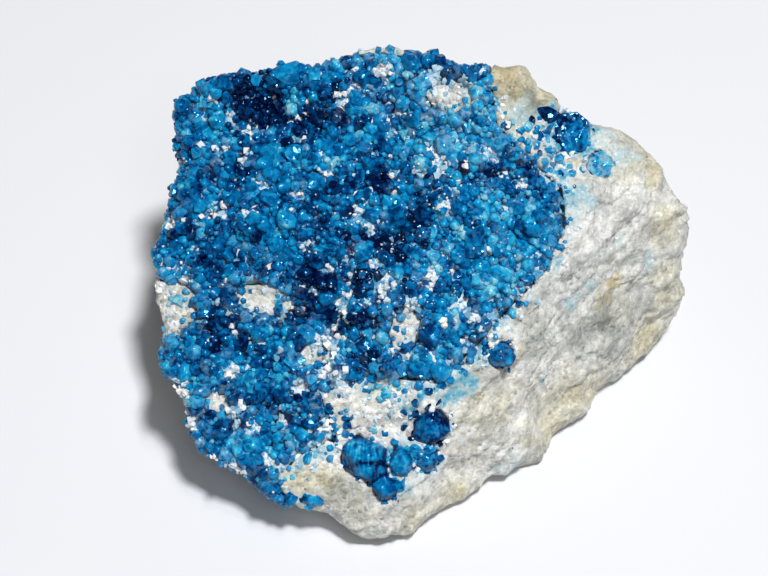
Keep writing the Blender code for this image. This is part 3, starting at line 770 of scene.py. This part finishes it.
# The large crystals of the bed and of the marble beside it, each in its own place on the
# crystal face, let into what lies under it by about half.
LARGE_CRYSTALS = [  # u, v, radius in millimetres, tone
    (0.4, -17.5, 0.65, 0.55),
    (1.2, -17.8, 0.75, 0.42),
    (1.9, -17.4, 0.70, 0.28),
    (2.5, -17.9, 0.60, 0.55),
    (3.2, -17.3, 0.55, 0.45),
    (-0.4, -17.2, 0.60, 0.38),
    (17.5, 17.6, 0.70, 0.50),
    (18.9, 15.0, 0.55, 0.68),
    (3.0, 20.7, 1.25, 0.50),
    (5.2, 21.3, 0.86, 0.15),
    (-12.8, 15.8, 1.21, 0.35),
    (-7.1, 17.7, 1.38, 0.55),
    (-9.9, 16.7, 0.69, 0.66),
    (-6.5, 14.8, 0.86, 0.80),
    (-10.4, 13.9, 1.04, 0.10),
    (-4.2, 14.5, 0.95, 0.12),
    (-7.0, 10.4, 1.29, 0.60),
    (-5.3, 11.0, 1.04, 0.60),
    (-10.5, 9.7, 0.95, 0.50),
    (-8.8, 8.6, 0.60, 0.05),
    (-3.8, 12.1, 0.78, 0.12),
    (-2.4, 12.3, 0.78, 0.42),
    (-1.7, 10.8, 0.78, 0.90),
    (-2.8, 8.9, 1.04, 0.50),
    (-0.7, 8.7, 0.78, 0.15),
    (-4.2, 5.2, 1.12, 0.65),
    (-6.6, 3.5, 0.78, 0.10),
    (-1.2, 5.7, 0.78, 0.10),
    (3.3, 9.7, 0.95, 0.08),
    (1.6, 12.7, 0.52, 0.05),
    (1.4, 11.4, 0.78, 0.55),
    (4.6, 7.2, 1.29, 0.42),
    (0.6, 6.8, 0.69, 0.12),
    (0.9, 4.8, 0.60, 0.03),
    (2.7, 6.9, 0.78, 0.40),
    (-4.7, 2.7, 1.12, 0.50),
    (-0.9, 2.5, 0.95, 0.15),
    (1.7, 13.9, 0.86, 0.40),
    (11.7, 12.8, 0.69, 0.04),
    (14.5, 13.8, 0.52, 0.06),
    (15.7, 12.0, 0.78, 0.20),
    (9.6, 16.7, 0.52, 0.25),
    (12.2, 16.7, 0.52, 0.20),
    (13.6, 16.0, 0.52, 0.45),
    (-10.0, 1.5, 0.95, 0.25),
    (-9.9, -0.7, 0.86, 0.22),
    (-8.3, 0.1, 0.78, 0.50),
    (-8.1, -2.2, 0.69, 0.20),
    (-5.8, -6.0, 0.95, 0.12),
    (-3.9, -6.2, 0.78, 0.20),
    (-0.1, 0.7, 0.69, 0.03),
    (1.5, 1.9, 0.69, 0.30),
    (9.8, -1.9, 1.38, 0.30),
    (9.3, -4.8, 1.12, 0.50),
    (11.1, -4.7, 1.04, 0.62),
    (7.8, -3.6, 0.69, 0.30),
    (5.3, -4.3, 0.78, 0.15),
    (10.6, 5.2, 1.04, 0.50),
    (11.6, 7.1, 1.04, 0.45),
    (14.2, 4.4, 1.04, 0.72),
    (15.0, 8.8, 0.78, 0.35),
    (9.6, 9.1, 0.86, 0.30),
    (-1.6, -9.4, 0.86, 0.30),
    (0.5, -11.1, 0.86, 0.30),
    (-2.2, -12.5, 0.78, 0.50),
    (-3.2, -15.3, 0.86, 0.50),
    (-5.6, -14.1, 0.69, 0.35),
    (-7.0, -12.3, 0.78, 0.30),
    (-8.8, -10.1, 0.69, 0.50),
    (-9.1, -6.7, 0.86, 0.15),
    (-1.0, -4.9, 0.86, 0.20),
    (1.0, -6.3, 0.78, 0.35),
    (4.0, -6.4, 0.78, 0.45),
    (-7.4, -7.7, 0.78, 0.60),
    (2.6, -17.4, 0.78, 0.60),
    (-16.2, 13.4, 0.78, 0.45),
    (7.0, -7.4, 0.70, 0.75),
    (4.4, -10.7, 0.60, 0.40),
    (4.6, -10.0, 0.35, 0.50),
    (6.5, -10.6, 0.50, 0.72),
    (7.5, -10.8, 0.55, 0.25),
    (8.6, -11.2, 0.43, 0.45),
    (8.1, -12.1, 0.43, 0.85),
    (8.5, -12.6, 0.70, 0.68),
    (7.8, -12.7, 0.43, 0.75),
    (7.2, -13.7, 0.60, 0.45),
    (8.0, -14.4, 0.70, 0.40),
    (7.6, -14.9, 0.43, 0.65),
    (9.4, -14.6, 0.70, 0.50),
    (8.5, -14.0, 0.35, 0.30),
    (11.5, -11.1, 0.70, 0.62),
    (10.6, -11.6, 0.70, 0.58),
    (10.0, -12.2, 0.55, 0.72),
    (10.8, -11.9, 0.39, 0.50),
    (11.5, -7.2, 0.39, 0.15),
    (11.8, -8.3, 0.47, 0.10),
    (9.8, -10.6, 0.43, 0.12),
    (9.0, -9.7, 0.39, 0.10),
    (2.7, -9.9, 0.60, 0.40),
    (4.2, -9.5, 0.43, 0.70),
    (1.7, -14.1, 0.52, 0.78),
    (3.8, -12.5, 0.26, 0.70),
    (5.1, -12.2, 0.50, 0.15),
    (5.1, -13.5, 0.50, 0.35),
    (6.3, -14.5, 0.50, 0.30),
    (15.3, 18.7, 1.05, 0.08),
    (14.9, 16.8, 0.85, 0.35),
    (14.1, 17.9, 0.60, 0.12),
    (16.4, 19.1, 0.90, 0.35),
    (15.6, 17.5, 0.75, 0.45),
    (16.9, 17.5, 0.90, 0.50),
    (17.7, 18.7, 0.80, 0.65),
    (16.1, 17.0, 0.62, 0.20),
    (16.9, 16.4, 0.60, 0.45),
    (15.8, 15.8, 0.52, 0.55),
    (17.2, 14.2, 0.45, 0.40),
    (15.6, 11.9, 0.74, 0.38),
    (16.5, 11.4, 0.60, 0.45),
    (17.7, 11.6, 0.45, 0.60),
    (12.6, 14.3, 0.52, 0.30),
    (11.6, 13.2, 0.50, 0.22),
    (10.3, 11.5, 0.45, 0.30),
    (4.2, -7.2, 0.60, 0.30),
    (5.3, -7.5, 0.60, 0.45),
    (6.8, -7.0, 0.52, 0.60),
    (7.1, -7.7, 0.43, 0.80),
    (4.2, -10.1, 0.43, 0.20),
    (5.7, -6.4, 0.69, 0.50),
    (2.8, -9.6, 0.52, 0.10),
    (3.6, -11.1, 0.43, 0.50),
    (10.5, -6.5, 0.52, 0.30),
    (11.4, -5.8, 0.52, 0.40),
    (9.6, -7.6, 0.52, 0.30),
    (8.8, -8.6, 0.43, 0.30),
    (12.2, -5.1, 0.43, 0.50),
    (13.1, -4.2, 0.43, 0.50),
    (13.4, 16.6, 0.50, 0.50),
    (14.3, 15.4, 0.55, 0.60),
    (12.9, 15.2, 0.50, 0.30),
]


class Room:
    """Remembers where grains lie, so that the next one is dropped clear of them."""

    def __init__(self, cell):
        self.cell = cell
        self.taken = {}

    def key(self, point):
        return tuple(int(math.floor(value / self.cell)) for value in point)

    def is_free(self, point, radius, closeness):
        base = self.key(point)
        for i in (-1, 0, 1):
            for j in (-1, 0, 1):
                for k in (-1, 0, 1):
                    for other, size in self.taken.get((base[0] + i, base[1] + j, base[2] + k), ()):
                        if (other - point).length < closeness * (radius + size):
                            return False
        return True

    def take(self, point, radius):
        self.taken.setdefault(self.key(point), []).append((point, radius))


cement_tree = BVHTree.FromObject(cement, bpy.context.evaluated_depsgraph_get())
room_left = Room(3.2 * MM)


def drop_on_face(u, v, trees=(block_tree, cement_tree)):
    """Where something dropped on the crystal face at (u, v) lands, how the surface faces, and
    whether it is marble."""
    start = FACE_MIDDLE + (face_right * u + face_along * v) * MM + face_up * 9 * MM
    hits = [(*tree.ray_cast(start, -face_up), tree is block_tree) for tree in trees]
    hits = [hit for hit in hits if hit[0] is not None]
    if not hits:
        return None, None, None
    spot, facing, _, _, on_marble = min(hits, key=lambda hit: hit[3])
    return spot, facing, on_marble


large = []
for u, v, radius, tone in LARGE_CRYSTALS:
    spot, facing, on_marble = drop_on_face(u, v)
    room_left.take(spot, radius * MM * 0.85)
    large.append((spot - facing * (0.5 if on_marble else 0.05) * radius * MM, radius * 1.08 * MM, tone))
joined_grains("large_blue_crystals", large_shapes, large, blue)

# The ordinary grains of the bed, a millimetre across, and the small ones that fill between
# them. The largest are dropped first, wherever there is room. The grains' tones vary at random,
# and patches darken them deep blue in the hollow and the crevice as painted shade, lighten them
# to azure on the right side as painted light, and make the top right and the islands' rims pale.
TONE_LIGHT_AND_SHADE_PATCHES = [  # u, v, reach, how much lighter (+) or darker (-)
    (-10.0, 15.0, 2.6, -0.35),
    (-5.0, 13.8, 2.6, -0.35),
    (-9.5, 0.5, 2.2, -0.22),
    (-8.8, -3.5, 2.2, -0.20),
    (-6.8, -5.5, 1.8, -0.22),
    (-0.6, 0.6, 1.7, -0.45),
    (2.8, 9.8, 1.1, -0.5),
    (-2.8, 7.0, 1.6, -0.25),
    (6.3, 7.5, 1.2, -0.55),
    (5.2, 4.5, 1.2, -0.55),
    (3.8, 1.8, 1.2, -0.5),
    (2.0, -2.0, 1.4, -0.5),
    (0.9, -4.5, 0.9, -0.4),
    (11.8, 12.7, 0.9, -0.5),
    (4.3, -5.6, 1.2, -0.3),
    (5.5, 21.0, 1.6, -0.25),
    (10.0, 6.5, 2.6, 0.12),
    (14.0, 4.0, 2.6, 0.22),
    (-5.5, 10.0, 2.2, 0.15),
    (-1.8, 10.5, 1.2, 0.4),
    (-6.5, 15.5, 0.9, 0.6),
    (8.0, 15.5, 3.2, 0.24),
    (12.5, 9.5, 3.4, 0.16),
    (0.0, -12.0, 2.6, 0.15),
    (-12.5, -2.5, 2.6, 0.2),
    (10.0, -5.0, 1.4, 0.12),
    (2.0, 16.5, 2.6, 0.12),
    (7.2, 6.8, 0.60, -0.50),
    (7.7, 5.5, 0.52, -0.50),
    (6.8, 2.0, 0.60, -0.50),
    (5.6, 3.7, 0.52, -0.50),
    (3.8, -2.0, 0.69, -0.50),
    (3.2, 9.8, 0.78, -0.50),
    (-0.3, 0.5, 0.86, -0.50),
    (-1.9, 1.7, 0.52, -0.50),
    (0.9, 5.0, 0.69, -0.50),
    (2.5, 5.2, 0.52, -0.50),
    (-11.2, 15.6, 1.38, -0.30),
    (-9.1, 14.6, 1.04, -0.40),
    (-7.3, 14.6, 0.86, -0.40),
    (-3.2, 16.9, 0.86, -0.40),
    (-5.5, 16.8, 0.86, -0.25),
    (-9.5, 8.5, 0.60, -0.45),
    (-14.1, 5.8, 0.69, -0.30),
    (-8.1, -5.6, 0.52, -0.40),
    (-7.9, -7.3, 0.60, -0.45),
    (-10.6, 0.2, 0.60, -0.30),
    (-8.2, 0.9, 0.60, -0.30),
    (-3.9, -2.9, 0.60, -0.40),
    (-2.4, -10.3, 0.52, -0.30),
    (-1.6, -2.7, 0.69, -0.45),
    (-0.6, -6.0, 0.78, -0.25),
    (7.3, 10.7, 1.04, -0.20),
    (11.8, 12.6, 0.60, -0.50),
    (14.5, 13.7, 0.52, -0.50),
    (8.9, 9.9, 0.78, -0.30),
]
WHITE_PATCHES = [  # u, v, reach, share of white grains
    (-10.6, -10.6, 1.0, 0.9),
    (-9.2, -12.4, 1.1, 0.9),
    (-6.2, -15.2, 0.7, 0.9),
    (-13.0, 13.9, 0.74, 0.90),
    (-11.5, 13.0, 0.57, 0.90),
    (-12.9, 9.9, 0.57, 0.90),
    (-11.4, 10.3, 0.74, 0.90),
    (-9.8, 10.6, 0.57, 0.90),
    (-10.3, 11.9, 0.74, 0.63),
    (-9.6, 8.9, 0.50, 0.90),
    (-11.0, 7.9, 0.57, 0.90),
    (1.0, 18.9, 1.06, 0.90),
    (-1.4, 18.4, 0.74, 0.90),
    (-2.0, 16.6, 0.82, 0.90),
    (2.9, 16.5, 0.82, 0.90),
    (-2.2, 10.3, 0.82, 0.63),
    (-1.1, 12.7, 0.57, 0.90),
    (-7.0, 11.7, 0.50, 0.90),
    (-5.2, 12.3, 0.50, 0.90),
    (-3.3, 9.6, 0.50, 0.72),
    (-7.6, 7.3, 0.74, 0.90),
    (-7.8, 6.1, 0.82, 0.90),
    (-11.3, 4.2, 1.06, 0.90),
    (-10.0, 4.4, 0.74, 0.90),
    (-14.4, 3.0, 0.74, 0.90),
    (-4.1, 7.6, 0.50, 0.90),
    (4.9, 9.1, 0.82, 0.90),
    (1.1, 6.7, 0.50, 0.90),
    (5.5, 19.6, 0.74, 0.90),
    (8.1, 18.7, 1.06, 0.72),
    (7.2, 17.6, 0.90, 0.72),
    (6.2, 17.6, 0.74, 0.90),
    (11.6, 14.5, 1.06, 0.90),
    (13.0, 13.4, 0.82, 0.90),
    (13.7, 17.7, 0.57, 0.90),
    (6.6, 12.2, 0.74, 0.72),
    (8.0, 12.0, 0.90, 0.81),
    (9.0, 12.8, 0.74, 0.81),
    (8.4, 10.1, 0.57, 0.90),
    (9.4, 8.9, 0.57, 0.90),
    (10.3, 9.6, 0.50, 0.90),
    (12.7, 6.5, 0.66, 0.90),
    (13.2, 7.5, 0.50, 0.90),
    (14.7, 10.3, 0.50, 0.90),
    (12.8, 0.5, 1.06, 0.90),
    (15.9, 5.8, 0.74, 0.90),
    (14.7, 3.7, 0.50, 0.90),
    (11.0, -0.6, 0.57, 0.90),
    (3.4, 10.7, 0.50, 0.90),
    (2.8, 5.6, 0.57, 0.72),
    (-0.7, 4.4, 0.50, 0.90),
    (0.4, 1.7, 0.50, 0.90),
    (1.9, 1.5, 0.50, 0.90),
    (4.2, 2.8, 0.50, 0.90),
    (5.2, 1.9, 0.57, 0.90),
    (4.5, 0.9, 0.82, 0.90),
    (3.7, -0.1, 0.82, 0.90),
    (2.2, -1.5, 0.90, 0.63),
    (1.4, -3.1, 0.90, 0.90),
    (4.9, -0.1, 0.74, 0.63),
    (7.4, 0.5, 0.66, 0.90),
    (7.5, -1.5, 0.90, 0.90),
    (7.2, -2.6, 0.90, 0.90),
    (8.6, 5.3, 0.50, 0.90),
    (8.8, 2.9, 0.50, 0.90),
    (-11.8, -0.7, 0.90, 0.90),
    (-8.2, -0.8, 0.57, 0.90),
    (-4.7, 1.0, 0.74, 0.90),
    (-7.8, -6.5, 0.66, 0.90),
    (-6.1, -8.3, 0.74, 0.72),
    (-7.2, -11.0, 0.66, 0.90),
    (-5.1, -12.2, 1.06, 0.90),
    (-4.8, -10.8, 0.74, 0.90),
    (-4.4, -15.5, 0.57, 0.90),
    (1.0, -5.2, 1.15, 0.90),
    (1.9, -6.8, 1.06, 0.90),
    (-0.9, -11.0, 0.57, 0.90),
    (1.1, -10.3, 0.90, 0.90),
    (0.0, -12.9, 0.74, 0.90),
    (-1.5, -15.4, 0.99, 0.63),
    (-7.1, -5.0, 0.74, 0.63),
    (1.8, -4.0, 0.74, 0.90),
    (1.0, -8.4, 0.57, 0.90),
    (2.5, -12.2, 1.06, 0.90),
    (0.3, -9.0, 0.57, 0.63),
    (-4.6, -5.4, 0.57, 0.63),
    (-1.0, -4.9, 0.50, 0.54),
    (-3.3, -7.3, 0.74, 0.54),
]
MILKY_PATCHES = [  # u, v, reach, how much milkier
    (6.5, 16.5, 3.5, 0.36),
    (12.0, 13.0, 3.5, 0.36),
    (1.5, 18.5, 2.5, 0.36),
    (14.0, 5.0, 3.0, 0.15),
    (6.0, -2.0, 2.6, 0.24),
    (1.0, -10.0, 3.6, 0.22),
    (-6.0, -13.0, 2.4, 0.22),
    (-12.0, -3.0, 2.0, 0.30),
    (-11.5, 11.5, 2.0, 0.22),
]
DEEP_BED = (0.42, 1.20, 0.65)  # smallest, largest and usual radius in millimetres
FINE_BED = (0.18, 0.42, 0.28)
SUGAR_GRAIN = 0.30 * MM
# the size of the white chips that paint glints
GLINT_CHIP_SIZE = (0.05, 0.11)
EDGE_REACH = 1.4 * MM  # by the marble the bed has more white, and milkier blue
OPEN_SIDE = -0.25  # grains sit on cement that faces up the bed's normal by more than this


# A bed grain's tone: its own, varying at random, with the patches' painted shade and painted light.
def blue_tone_and_painted_light(u, v):
    tone = 0.47 + 0.24 * noise.noise(Vector((u / 3.0, v / 3.0, 3.0))) + draw.gauss(0, 0.13)
    for patch_u, patch_v, reach, shift in TONE_LIGHT_AND_SHADE_PATCHES:
        tone += shift * math.exp(-((u - patch_u) ** 2 + (v - patch_v) ** 2) / reach**2)
    return min(max(tone, 0.0), 1.0)


def milkiness(u, v, tone):
    """How milky a blue grain is: only the lighter ones can be."""
    milk = draw.gauss(-0.12, 0.22)
    for patch_u, patch_v, reach, more in MILKY_PATCHES:
        milk += more * math.exp(-((u - patch_u) ** 2 + (v - patch_v) ** 2) / reach**2)
    return min(max(milk, 0.0), 0.75) * min(1.6 * tone, 1.0)


def white_share(u, v):
    share = 0.9 * (noise.noise(Vector((u / 1.5, v / 1.5, 9.0))) - 0.25)
    for patch_u, patch_v, reach, strength in WHITE_PATCHES:
        share += strength * math.exp(-((u - patch_u) ** 2 + (v - patch_v) ** 2) / reach**2)
    return share


def any_way():
    return Vector((draw.gauss(0, 1), draw.gauss(0, 1), draw.gauss(0, 1)))


def on_lump(point):
    """The nearest place on the lump's surface."""
    near = [tree.find_nearest(point) for tree in (block_tree, cement_tree)]
    return min(near, key=lambda found: found[3])[0]


def sugar_heap(spot, radius, whiteness=0.65, sunk=0.0):
    """A few white grains heaped where one grain of the given radius would lie."""
    warmth = draw.triangular(0.0, 1.0, whiteness)
    heap = []
    for _ in range(max(1, round((radius / SUGAR_GRAIN) ** 1.6))):
        size = SUGAR_GRAIN * draw.uniform(0.6, 1.35)
        place = on_lump(spot + any_way() * radius * 0.5) + face_up * size * draw.uniform(-0.3, 0.5) * (1 - sunk)
        heap.append((place - face_up * size * sunk, size, min(max(warmth + draw.gauss(0, 0.15), 0.0), 1.0)))
    return heap


def surface_points(piece, count, seed):
    """Points spread evenly over a piece's surface, with the surface normal at each."""
    skin = piece.data
    skin.calc_loop_triangles()
    corners = np.empty(len(skin.vertices) * 3)
    skin.vertices.foreach_get("co", corners)
    triangles = np.empty(len(skin.loop_triangles) * 3, np.int64)
    skin.loop_triangles.foreach_get("vertices", triangles)
    a, b, c = (corners.reshape(-1, 3)[triangles.reshape(-1, 3)[:, side]] for side in range(3))
    across = np.cross(b - a, c - a)
    area = np.linalg.norm(across, axis=1)
    dice = np.random.default_rng(seed)
    picked = dice.choice(len(area), size=count, p=area / area.sum())
    s, t = dice.random(count), dice.random(count)
    flip = s + t > 1
    s[flip], t[flip] = 1 - s[flip], 1 - t[flip]
    points = a[picked] + s[:, None] * (b - a)[picked] + t[:, None] * (c - a)[picked]
    return points, (across / area[:, None])[picked]


def drop_grains(count, seed, radii, closeness, lift, base_white):
    """Drops grains on the cement where there is room and air: blue ones and white ones."""
    blue_ones, white_ones = [], []
    for point, normal in zip(*surface_points(cement, count, seed)):
        point, normal = Vector(point), Vector(normal)
        radius = draw.triangular(*radii) * MM
        if not room_left.is_free(point, radius, closeness) or normal.dot(face_up) < OPEN_SIDE:
            continue
        if block_tree.ray_cast(point + normal * 0.02 * MM, normal, 0.3 * MM)[0] is not None:
            continue
        room_left.take(point, radius)
        place = face_place(point)
        steep = 0.35 * (1 - max(normal.dot(face_up), 0.0))
        _, _, _, away = block_tree.find_nearest(point, EDGE_REACH)
        at_edge = 0.0 if away is None else 1 - away / EDGE_REACH
        if draw.random() < base_white + white_share(*place) + 0.25 * at_edge:
            white_ones += sugar_heap(point, radius, 0.25 + min(white_share(*place), 0.5))
        else:
            tone = blue_tone_and_painted_light(*place)
            centre = point + normal * radius * (draw.uniform(*lift) - steep)
            blue_ones.append((centre, radius, tone, min(milkiness(*place, tone) + 0.25 * at_edge, 1.0)))
    return blue_ones, white_ones


blue_ones, white_ones = drop_grains(40000, 5, DEEP_BED, 0.50, (-0.35, 0.15), 0.03)
fine_blue, fine_white = drop_grains(90000, 6, FINE_BED, 0.56, (0.2, 1.4), 0.16)

# The bed has no hard edge: along it, and over the islands' rims, blue and white grains lie
# let into the marble, fewer and fewer further out. On the right they reach the wall's ridge.
BORDER_BED = (0.28, 0.95, 0.46)
BORDER_REACH = 1.2
WIDE_BORDERS = [  # u, v, spread, how much further the grains reach there
    (15.5, 14.5, 2.8, 3.0),
    (17.0, 17.5, 2.2, 2.0),
    (16.5, 10.0, 2.0, 1.4),
    (17.5, 4.5, 2.5, -0.6),
    (14.0, -1.5, 2.0, 0.5),
    (8.0, -8.5, 3.0, 1.0),
    (4.0, -12.5, 2.5, 0.8),
    (-12.6, -3.0, 2.2, 1.6),
    (9.5, 17.0, 1.6, 0.5),
    (11.5, 20.5, 2.2, -1.1),
    (1.0, 19.0, 2.5, 0.8),
]
for point, normal in zip(*surface_points(block, 160000, 8)):
    point, normal = Vector(point), Vector(normal)
    if normal.dot(face_up) < 0.65:
        continue
    u, v = face_place(point)
    reach = BORDER_REACH * (1 + 0.7 * noise.noise(Vector((u / 1.2, v / 1.2, 2.0))))
    for place_u, place_v, spread, more in WIDE_BORDERS:
        reach += more * math.exp(-((u - place_u) ** 2 + (v - place_v) ** 2) / spread**2)
    _, _, _, away = cement_tree.find_nearest(point, reach * MM)
    if away is None or draw.random() < away / MM / reach:
        continue
    radius = draw.triangular(*BORDER_BED) * (1 - 0.45 * away / MM / reach) * MM
    if not room_left.is_free(point, radius, 0.6):
        continue
    if cement_tree.ray_cast(point + normal * 0.02 * MM, normal, 3 * MM)[0] is not None:
        continue
    room_left.take(point, radius)
    if draw.random() < 0.20 + 0.40 * away / MM / reach:
        white_ones += sugar_heap(point, radius, 0.5, 0.4)
    else:
        tone = min(blue_tone_and_painted_light(u, v) + 0.12 * away / MM, 1.0)
        centre = point - normal * radius * draw.uniform(0.0, 0.5)
        blue_ones.append((centre, radius, tone, min(milkiness(u, v, tone) + 0.15 * away / MM, 1.0)))
half = len(blue_ones) // 2
joined_grains("blue_grains", grain_shapes, blue_ones[:half], blue)
joined_grains("more_blue_grains", grain_shapes, blue_ones[half:], blue)
joined_grains("fine_blue_grains", fine_shapes, fine_blue, blue)

# Painted glints: tiny white chips in the calcite finish, laid on the blue grains where they stand for glints of
# light.
painted_glints = []
for centre, radius, *_ in blue_ones + large:
    u, v = face_place(centre)
    many = 3.0 * noise.noise(Vector((u / 2.0, v / 2.0, 5.0))) + 2.0 * math.exp(-(((u - 5.0) ** 2 + (v - 6.0) ** 2) / 60))
    for _ in range(round(max(many, 0) * draw.random())):
        way = (any_way() + 1.6 * face_up).normalized()
        painted_glints.append((centre + way * radius * 0.85, draw.uniform(*GLINT_CHIP_SIZE) * MM, draw.uniform(0.4, 0.85)))
joined_grains("painted_glint_chips", chip_shapes, painted_glints, calcite)

# White grains on the marble: they lie thick on the islands of marble in the bed and along
# the bed's edge, where marble and blue crystals run into each other.
WHITE_HEAPS = [  # u, v, spread, how many heaps
    (-5.0, -1.8, 2.2, 46),
    (6.8, 18.3, 1.8, 40),
    (7.5, -1.8, 1.5, 30),
    (0.4, -5.6, 1.3, 26),
    (-6.6, -11.0, 1.1, 22),
    (8.5, -8.2, 1.8, 26),
    (5.2, -8.8, 1.3, 20),
    (3.0, -12.0, 1.2, 20),
    (0.8, -15.0, 1.4, 22),
    (12.0, 17.0, 1.8, 26),
    (16.5, 13.8, 1.6, 26),
    (18.0, 8.0, 1.4, 20),
    (16.8, 4.0, 1.2, 16),
    (14.8, -0.5, 1.2, 14),
    (-12.5, -3.0, 1.4, 16),
]
for u, v, reach, count in WHITE_HEAPS:
    for _ in range(count):
        spot, facing, on_marble = drop_on_face(draw.gauss(u, reach * 0.6), draw.gauss(v, reach * 0.6))
        if on_marble and room_left.is_free(spot, 0.1 * MM, 0.9):
            white_ones += sugar_heap(spot, draw.uniform(0.3, 0.6) * MM, 0.65, 0.6)
half = len(white_ones) // 2
joined_grains("white_grains", white_shapes, white_ones[:half], calcite)
joined_grains("more_white_grains", white_shapes, white_ones[half:], calcite)
joined_grains("fine_white_grains", chip_shapes, fine_white, calcite)

# The crystals that stand apart keep their solids' form, with flats broken on it, grown a
# little into the marble round them, with a rim darker than the middle: painted shade at the rim
# and painted light in the middle, over the crystal's own tone. The great one is ribbed along its
# length and crossed by a dark band.
CRYSTAL_GRID = 0.12 * MM
RIM_GRAINS = (0.16, 0.50, 0.28)
CRYSTAL_LOOKS = {  # rim, middle, milk, how high its top is broken off, how much lighter to its right
    "striated_crystal": (0.12, 0.62, 0.0, 0.9, 0.0),
    "striated_crystal_side": (0.30, 0.60, 0.0, 0.9, 0.0),
    "navy_crystal": (0.02, 0.32, 0.0, 0.85, 0.1),
    "teal_crystal": (0.22, 0.50, 0.04, 0.9, 0.0),
    "teal_crystal_toe": (0.15, 0.48, 0.0, 0.9, 0.0),
    "teal_crystal_wall": (0.18, 0.46, 0.04, 0.8, 0.0),
    "shoulder_crystal": (0.16, 0.30, 0.0, 0.5, 0.55),
    "shoulder_crystal_pale": (0.5, 0.62, 0.5, 0.45, 0.2),
}
blue_rim, white_rim = [], []
for node, (rim, middle_tone_and_light, milk, top, lighter) in CRYSTAL_LOOKS.items():
    piece = new_piece(node + "_skin", solid_copy(node), node)
    regrid(piece, CRYSTAL_GRID)
    low, high = (Vector(end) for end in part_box(node))
    centre, reach = (low + high) / 2, (high - low).length / 2
    normals = [corner.normal.copy() for corner in piece.data.vertices]
    flats = [(face_up, top * max((corner.co - centre).dot(face_up) for corner in piece.data.vertices))]
    for _ in range(9):
        facing = (any_way() + 1.8 * face_up).normalized()
        tip = max((corner.co - centre).dot(facing) for corner in piece.data.vertices)
        flats.append((facing, tip * draw.uniform(0.70, 0.88)))
    for _ in range(round(reach / MM * 12)):
        angle = draw.uniform(0, math.tau)
        way = math.cos(angle) * face_right + math.sin(angle) * face_along
        tip = max((corner.co - centre).dot(way) for corner in piece.data.vertices)
        spot, facing, on_marble = drop_on_face(*face_place(centre + way * tip * draw.uniform(0.9, 1.2)))
        radius = draw.triangular(*RIM_GRAINS) * MM
        if on_marble and draw.random() < 0.5:
            white_rim += sugar_heap(spot, radius, 0.5, 0.2)
        elif on_marble:
            blue_rim.append((spot - facing * 0.3 * radius, radius, rim + draw.uniform(0.0, 0.45)))
    levels = []
    for corner, normal in zip(piece.data.vertices, normals):
        place = corner.co / MM
        off = corner.co - centre
        u, v = off.dot(face_right) / MM, off.dot(face_along) / MM
        away = math.hypot(u, v) * MM / reach
        # Painted shade at the rim and painted light in the middle: the rim darker, the middle lighter.
        level = middle_tone_and_light + (rim - middle_tone_and_light) * float(smooth_step(away + 0.3 * noise.noise(place * 1.3), 0.25, 0.65))
        level += lighter * u * MM / reach
        rib = 0.0
        if node == "striated_crystal":
            rib = noise.noise(Vector(((u + 0.25 * v) * 6.5, v * 0.5, 0.0)))
            level += 0.30 * rib - 0.5 * math.exp(-(((0.35 * u - v - 0.45) / 0.22) ** 2))
        levels.append(level + 0.22 * noise.noise(place * 2.2))
        corner.co += normal * (0.20 + 0.14 * noise.noise(place * 1.1)) * MM
        for facing, limit in flats:
            over = (corner.co - centre).dot(facing) - limit - 0.18 * MM
            if over > 0:
                corner.co -= facing * over
        corner.co += normal * (0.05 * rib + 0.03 * noise.noise(place * 4)) * MM
    keep(piece, "tone", levels)
    keep(piece, "milk", np.full(len(levels), milk))
    piece.data.materials.clear()
    piece.data.materials.append(clear_blue)

joined_grains("blue_rim_grains", grain_shapes, blue_rim, blue)
joined_grains("white_rim_grains", white_shapes, white_rim, calcite)

bed_solid.free()
low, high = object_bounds()
